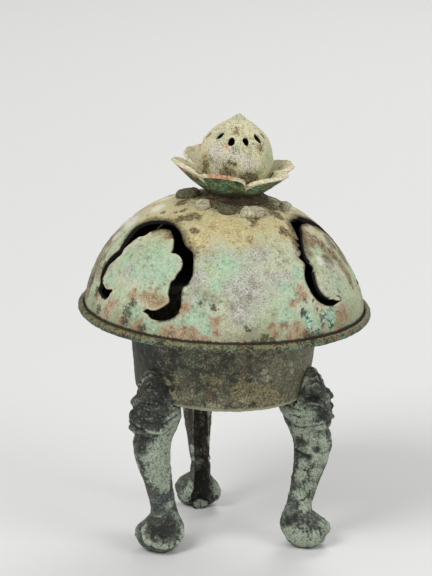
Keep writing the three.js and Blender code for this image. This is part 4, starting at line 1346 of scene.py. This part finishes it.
def bowlFinish():
    paint = Paint("bowlBronze", bowlPaint)
    broad, middle, fine, grit = paint.grains
    relief = paint.kept("relief")
    z = paint.placeOn(2)
    flat = paint.node("ShaderNodeVectorMath", {"operation": "MULTIPLY"}, {0: paint.place, 1: (1 / mm, 1 / mm, 0)})
    radius = paint.node("ShaderNodeVectorMath", {"operation": "LENGTH"}, {0: flat}, 1)
    paint.ground(broad * 0.3 + middle * 0.4 + fine * 0.3)
    aside = paint.placeOn(0)
    paint.coat("rightSide", paint.between(aside + (middle - 0.5) * 40, 12, 36) * 0.5, fine)
    paint.patchCoat("blue", middle)
    paint.patchCoat("green", middle)
    paint.patchCoat("tan", middle, fine)
    paint.patchCoat("rust", fine * 0.5 + middle * 0.5)
    paint.patchCoat("pale", fine * 0.5 + middle * 0.5, fine)
    paint.coat("darkSpeckle", paint.between(grit * 0.5 + fine * 0.5 + (middle - 0.5) * 0.7, 0.53, 0.62) * 0.6)
    paint.coat("paleSpeckle", paint.between(paint.noise(1.0, 31, 3) + (middle - 0.5) * 0.6, 0.57, 0.65) * 0.55)
    paint.coat("ridges", paint.between(relief + (fine - 0.5) * 0.5, 0.14, 0.34) * 0.5)
    paint.coat("leftSide", paint.between(aside + (middle - 0.5) * 24, -20, -40) * 0.72)
    # pale worn line along the bottom edge
    bottomEdge = paint.between(z + (middle - 0.5) * 3, 79.6, 78.4) * paint.between(radius, 38, 42)
    paint.coat("bottomEdge", bottomEdge * 0.75)
    # rolled lip: cream and green above, darker and bluish below, where shade is painted on the lip's lower half
    onLip = paint.between(radius, 69.2, 70.2) * paint.between(z, 116.2, 117.2)
    paint.coat("lip", onLip, fine * 0.6 + middle * 0.4)
    under = paint.between(z + (middle - 0.5) * 3, 119.7, 118.8)
    # painted shade on the lower half of the lip
    paint.coat("lipUnderShade", onLip * under * 0.92, fine)
    paint.coat("lipGreen", onLip * under * paint.between(broad + (fine - 0.5) * 0.8, 0.53, 0.62) * 0.8)
    paint.coat("lipRust", onLip * paint.between(paint.noise(5, 17) + (fine - 0.5) * 0.4, 0.64, 0.7) * 0.7)
    paint.coat("lipSpeckle", onLip * paint.between(grit, 0.56, 0.64) * 0.6)
    # soot and painted shade in the pan and the bowl
    within = paint.between(radius, 70.4, 69.8) * paint.between(z, 117.6, 118.3)
    hollow = paint.between(radius, 44.0, 43.2) * paint.between(z, 79.2, 79.8)
    paint.coat("sootAndShade", (within + hollow - within * hollow) * 0.9)
    return paint.finish(fine * 0.6 + grit * 0.4, (fine - 0.5) * 0.5)


legPaint = {
    "metallic": 0.12,
    "grains": [(9, 8), (3.0, 14, 4), (1.1, 19), (0.65, 23, 2)],  # broad, middle, fine, grit
    "ground": [
        (0.37, 36, 38, 34), (0.45, 58, 62, 54), (0.51, 84, 90, 78), (0.57, 112, 118, 104),
        (0.66, 138, 146, 130),
    ],
    "roughness": 0.68,
    "bump": (0.7, 0.5),
    "patches": {
        "blue": (1.4, 0.25, 0.75, [(0.42, 44, 46, 50), (0.6, 98, 104, 110)]),
        "brown": (1.2, 0.25, 0.9, [(0.42, 26, 21, 14), (0.6, 72, 60, 42)]),
        "dark": (1.8, 0.24, 0.85, (30, 31, 28)),
    },
    "coats": {
        "crust": [(0.4, 106, 114, 98), (0.47, 154, 166, 146), (0.54, 186, 196, 174), (0.62, 156, 174, 156)],
        "crustPits": (66, 68, 58),
        "hollows": (26, 27, 24),
        "ridges": (168, 176, 156),
        "fineHollows": (24, 26, 24),
        "fineRidges": (172, 180, 162),
        "darkSpeckle": (24, 24, 20),
        "paleSpeckle": (150, 158, 140),
        "foot": (40, 44, 38),
    },
}


def legFinish():
    paint = Paint("legBronze", legPaint)
    broad, middle, fine, grit = paint.grains
    relief = paint.kept("relief")
    fineRelief = paint.kept("fineRelief")
    z = paint.placeOn(2)
    paint.ground(broad * 0.25 + middle * 0.4 + fine * 0.35)
    paint.patchCoat("blue", middle, fine)
    paint.patchCoat("brown", middle, fine)
    # pale crust with small pits
    crusted = paint.patch("crust", middle * 0.6 + fine * 0.4, 2.0, 0.22)
    paint.coat("crust", crusted * 0.92, fine * 0.6 + grit * 0.4)
    paint.coat("crustPits", crusted * paint.between(grit, 0.55, 0.62) * 0.6)
    paint.patchCoat("dark", fine * 0.5 + middle * 0.5)
    # hollows stay dark, ridges are worn pale
    paint.coat("hollows", paint.between(relief + (fine - 0.5) * 0.4, -0.08, -0.4) * 0.7)
    paint.coat("ridges", paint.between(relief + (fine - 0.5) * 0.6, 0.16, 0.5) * 0.5)
    paint.coat("fineHollows", paint.between(fineRelief, -0.04, -0.16) * 0.6)
    paint.coat("fineRidges", paint.between(fineRelief + (fine - 0.5) * 0.2, 0.05, 0.17) * 0.6)
    paint.coat("darkSpeckle", paint.between(grit * 0.6 + fine * 0.4 + (broad - 0.5) * 0.5, 0.54, 0.64) * 0.55)
    paint.coat("paleSpeckle", paint.between(paint.noise(1.2, 37, 3) + (middle - 0.5) * 0.8, 0.56, 0.68) * 0.28)
    paint.coat("foot", paint.between(z + (middle - 0.5) * 3, 1.6, 0.2) * 0.5)
    return paint.finish(fine * 0.6 + grit * 0.4, (fine - 0.5) * 0.4)


calyxPaint = {
    "metallic": 0.0,
    "grains": [(3.6, 12, 4), (1.2, 15), (0.7, 18, 2)],  # middle, fine, grit
    "ground": [
        (0.38, 52, 58, 34), (0.46, 84, 92, 58), (0.52, 108, 124, 84), (0.58, 140, 152, 112),
        (0.66, 118, 108, 72),
    ],
    "roughness": 0.86,
    "bump": (0.6, 0.5),
    "patches": {
        "verdigris": (2.4, 0.3, 0.8, [(0.4, 46, 84, 56), (0.5, 82, 128, 92), (0.6, 136, 172, 134)]),
        "rust": (1.2, 0.15, 0.85, [(0.42, 140, 84, 54), (0.6, 206, 154, 114)]),
    },
    "coats": {
        "hollows": (44, 42, 26),
        "ridges": (182, 186, 146),
        "foot": (62, 54, 34),
        "inner": [
            (0.38, 158, 150, 116), (0.46, 204, 198, 162), (0.52, 222, 218, 188),
            (0.58, 210, 198, 160), (0.66, 222, 220, 198)],
        "lip": [(0.42, 198, 188, 152), (0.6, 230, 224, 198)],
        "darkSpeckle": (46, 42, 24),
    },
}


def calyxFinish():
    paint = Paint("calyxPatina", calyxPaint)
    middle, fine, grit = paint.grains
    relief = paint.kept("relief")
    paint.ground(middle * 0.5 + fine * 0.5)
    paint.patchCoat("verdigris", middle, fine)
    paint.coat("hollows", paint.between(relief + (fine - 0.5) * 0.3, -0.04, -0.22) * 0.7)
    paint.coat("ridges", paint.between(relief + (fine - 0.5) * 0.3, 0.05, 0.25) * 0.45)
    # brown and dark near the foot
    paint.coat("foot", paint.between(paint.placeOn(2) + (middle - 0.5) * 5, 183.6, 181.2) * 0.8)
    inner = paint.between(paint.kept("inner"), 0.3, 0.6)
    paint.coat("inner", inner, middle * 0.5 + fine * 0.5)
    lip = paint.between(paint.kept("lip") + (fine - 0.5) * 0.5, 0.72, 0.86)
    paint.coat("lip", lip * 0.94, fine)
    paint.patchCoat("rust", fine, fine)
    paint.coat("darkSpeckle", paint.between(grit, 0.56, 0.66) * (0.55 - inner * 0.3))
    return paint.finish(fine * 0.6 + grit * 0.4)


budPaint = {
    "metallic": 0.0,
    "grains": [(8, 25), (2.8, 28, 4), (1.1, 33), (0.65, 36, 2)],  # broad, middle, fine, grit
    "ground": [
        (0.37, 142, 136, 98), (0.45, 190, 184, 142), (0.51, 216, 210, 174), (0.57, 206, 202, 174),
        (0.66, 168, 168, 132),
    ],
    "roughness": 0.86,
    "bump": (0.6, 0.5),
    "patches": {
        "white": (1.8, 0.4, 0.7, (206, 200, 192)),
        "green": (2.6, 0.4, 0.55, [(0.42, 128, 154, 118), (0.6, 174, 192, 154)]),
        "tan": (2.4, 0.3, 0.8, [(0.43, 78, 66, 30), (0.49, 142, 122, 68), (0.57, 196, 176, 120)]),
        "rust": (1.8, 0.3, 0.7, (204, 140, 108)),
    },
    "coats": {
        "speckle": (40, 35, 18),
        "hollows": (74, 76, 50),
        "darkSpeckle": (84, 82, 52),
        "paleSpeckle": (228, 224, 202),
        "inside": (24, 21, 15),
    },
}


def budFinish():
    paint = Paint("budPatina", budPaint)
    broad, middle, fine, grit = paint.grains
    relief = paint.kept("relief")
    paint.ground(broad * 0.3 + middle * 0.4 + fine * 0.3)
    paint.patchCoat("white", middle)
    paint.patchCoat("green", middle, fine)
    paint.patchCoat("tan", middle, fine)
    dots = paint.between(fine * 0.5 + grit * 0.5, 0.47, 0.51)
    paint.coat("speckle", paint.patch("speckle", middle, 1.8, 0.25) * dots * 0.9)
    paint.patchCoat("rust", fine)
    paint.coat("hollows", paint.between(relief + (fine - 0.5) * 0.3, -0.03, -0.2) * 0.6)
    paint.coat("darkSpeckle", paint.between(grit + (broad - 0.5) * 0.6, 0.55, 0.64) * 0.6)
    paint.coat("paleSpeckle", paint.between(paint.noise(0.9, 41, 2), 0.58, 0.67) * 0.35)
    # painted shade inside the bud and down its vents
    paint.coat("inside", paint.between(paint.kept("inside"), 0.25, 0.5))
    return paint.finish(fine * 0.6 + grit * 0.4)


# the collar under the calyx: dark brown, partly real stain and partly a painted shadow of the calyx
stainAndShadowPaint = {
    "metallic": 0.0,
    "grains": [(3.2, 43, 4), (1.1, 46)],  # middle, fine
    "ground": [(0.38, 34, 28, 17), (0.47, 58, 50, 32), (0.54, 82, 70, 46), (0.66, 116, 100, 68)],
    "roughness": 0.84,
    "bump": (0.5, 0.4),
    "coats": {"rust": (96, 60, 40)},
}


def stainAndShadowFinish():
    paint = Paint("stainedFoot", stainAndShadowPaint)
    middle, fine = paint.grains
    paint.ground(middle * 0.5 + fine * 0.5)
    paint.coat("rust", paint.between(paint.noise(2.4, 49), 0.58, 0.66) * 0.6)
    return paint.finish(fine)


padPaint = {
    "metallic": 0.0,
    "grains": [(2.4, 52, 4), (1.0, 55), (0.6, 58, 2)],  # middle, fine, grit
    "roughness": 0.86,
    "bump": (0.6, 0.4),
    "coats": {
        "hollows": (52, 50, 34),
        "darkSpeckle": (70, 68, 48),
    },
}
# the olive look is dark partly as a painted shadow of the collar and calyx on the pads
padLooks = {
    "padPale": {"ground": [(0.4, 142, 136, 108), (0.6, 212, 206, 178)]},
    "padOlive": {"ground": [(0.4, 58, 56, 36), (0.6, 118, 114, 84)]},
}


def padFinish(name):
    paint = Paint(name, {**padPaint, **padLooks[name]})
    middle, fine, grit = paint.grains
    relief = paint.kept("relief")
    paint.ground(middle * 0.5 + fine * 0.5)
    paint.coat("hollows", paint.between(relief + (fine - 0.5) * 0.3, -0.02, -0.2) * 0.7)
    paint.coat("darkSpeckle", paint.between(grit, 0.55, 0.64) * 0.6)
    return paint.finish(fine * 0.6 + grit * 0.4)


bronzePaint = {
    "grains": [(2.2, 61, 4), (0.8, 64)],  # middle, fine
    "bump": (0.4, 0.3),
}
bronzeLooks = {
    "rivetBronze": {"metallic": 0.3, "roughness": 0.6, "ground": [(0.38, 46, 38, 26), (0.62, 104, 90, 66)]},
    "brownBronze": {"metallic": 0.2, "roughness": 0.75, "ground": [(0.38, 32, 26, 20), (0.62, 72, 60, 44)]},
}


def bronzeFinish(name):
    paint = Paint(name, {**bronzePaint, **bronzeLooks[name]})
    middle, fine = paint.grains
    paint.ground(middle * 0.5 + fine * 0.5)
    return paint.finish(fine, (fine - 0.5) * 0.3)


coverPatina = coverFinish()
bowlBronze = bowlFinish()
legBronze = legFinish()
calyxPatina = calyxFinish()
budPatina = budFinish()
stainedFoot = stainAndShadowFinish()
padPale = padFinish("padPale")
padOlive = padFinish("padOlive")
rivetBronze = bronzeFinish("rivetBronze")
brownBronze = bronzeFinish("brownBronze")
for entry in frame["record"]["subparts"]:
    node = frame["nodes"][entry["node"]]
    node.data.materials.clear()
    node.data.materials.append(rivetBronze if entry["material_slot"] == "rivet_bronze" else brownBronze)
for pieces, finish in (
    ([coverDome], coverPatina), ([bowlCasting], bowlBronze), (lionLegs, legBronze), ([calyxCup], calyxPatina),
    ([lotusBud], budPatina), ([collarMound], stainedFoot), (castPads[:1] + castPads[2:4] + castPads[5:], padPale),
    ([castPads[1], castPads[4]], padOlive),
):
    for piece in pieces:
        piece.data.materials.append(finish)
print("finishes assigned:", len(bpy.data.materials))


# the floor and the light around the object
stageValues = {
    "floorSize": 12,
    "floorColour": (0.75, 0.75, 0.74, 1),
    "floorRoughness": 0.7,
    "floorPaint": {"metallic": 0.0, "grains": []},
    "aim": (0, 0, 0.1),
    # lights: name, place, size and power
    "lights": [
        ("keyLight", (-1.2, -1.4, 1.8), 1.2, 34),
        ("fillLight", (1.6, -1.0, 1.1), 1.4, 14),
        ("backLight", (0.4, 1.6, 1.6), 1.2, 16),
    ],
    "roomColour": (0.8, 0.8, 0.8, 1),
    "roomStrength": 0.5,
}


def addFloor():
    bpy.ops.mesh.primitive_plane_add(size=stageValues["floorSize"], location=(0, 0, 0))
    floor = bpy.context.object
    floor.name = "floor"
    paint = Paint("floorPaper", stageValues["floorPaint"])
    paint.shader.inputs["Base Color"].default_value = stageValues["floorColour"]
    paint.shader.inputs["Roughness"].default_value = stageValues["floorRoughness"]
    floor.data.materials.append(paint.material)


def addLight(name, place, size, power):
    lightData = bpy.data.lights.new(name, "AREA")
    lightData.shape = "DISK"
    lightData.size = size
    lightData.energy = power
    lightObject = bpy.data.objects.new(name, lightData)
    bpy.context.collection.objects.link(lightObject)
    lightObject.location = place
    aim = Vector(stageValues["aim"]) - Vector(place)
    lightObject.rotation_euler = aim.to_track_quat("-Z", "Y").to_euler()


def addRoom():
    world = bpy.data.worlds.new("room")
    world.use_nodes = True
    background = world.node_tree.nodes["Background"]
    background.inputs["Color"].default_value = stageValues["roomColour"]
    background.inputs["Strength"].default_value = stageValues["roomStrength"]
    bpy.context.scene.world = world


addFloor()
for light in stageValues["lights"]:
    addLight(*light)
addRoom()
bpy.context.scene.view_settings.view_transform = "Standard"
print("stage and lights ready")
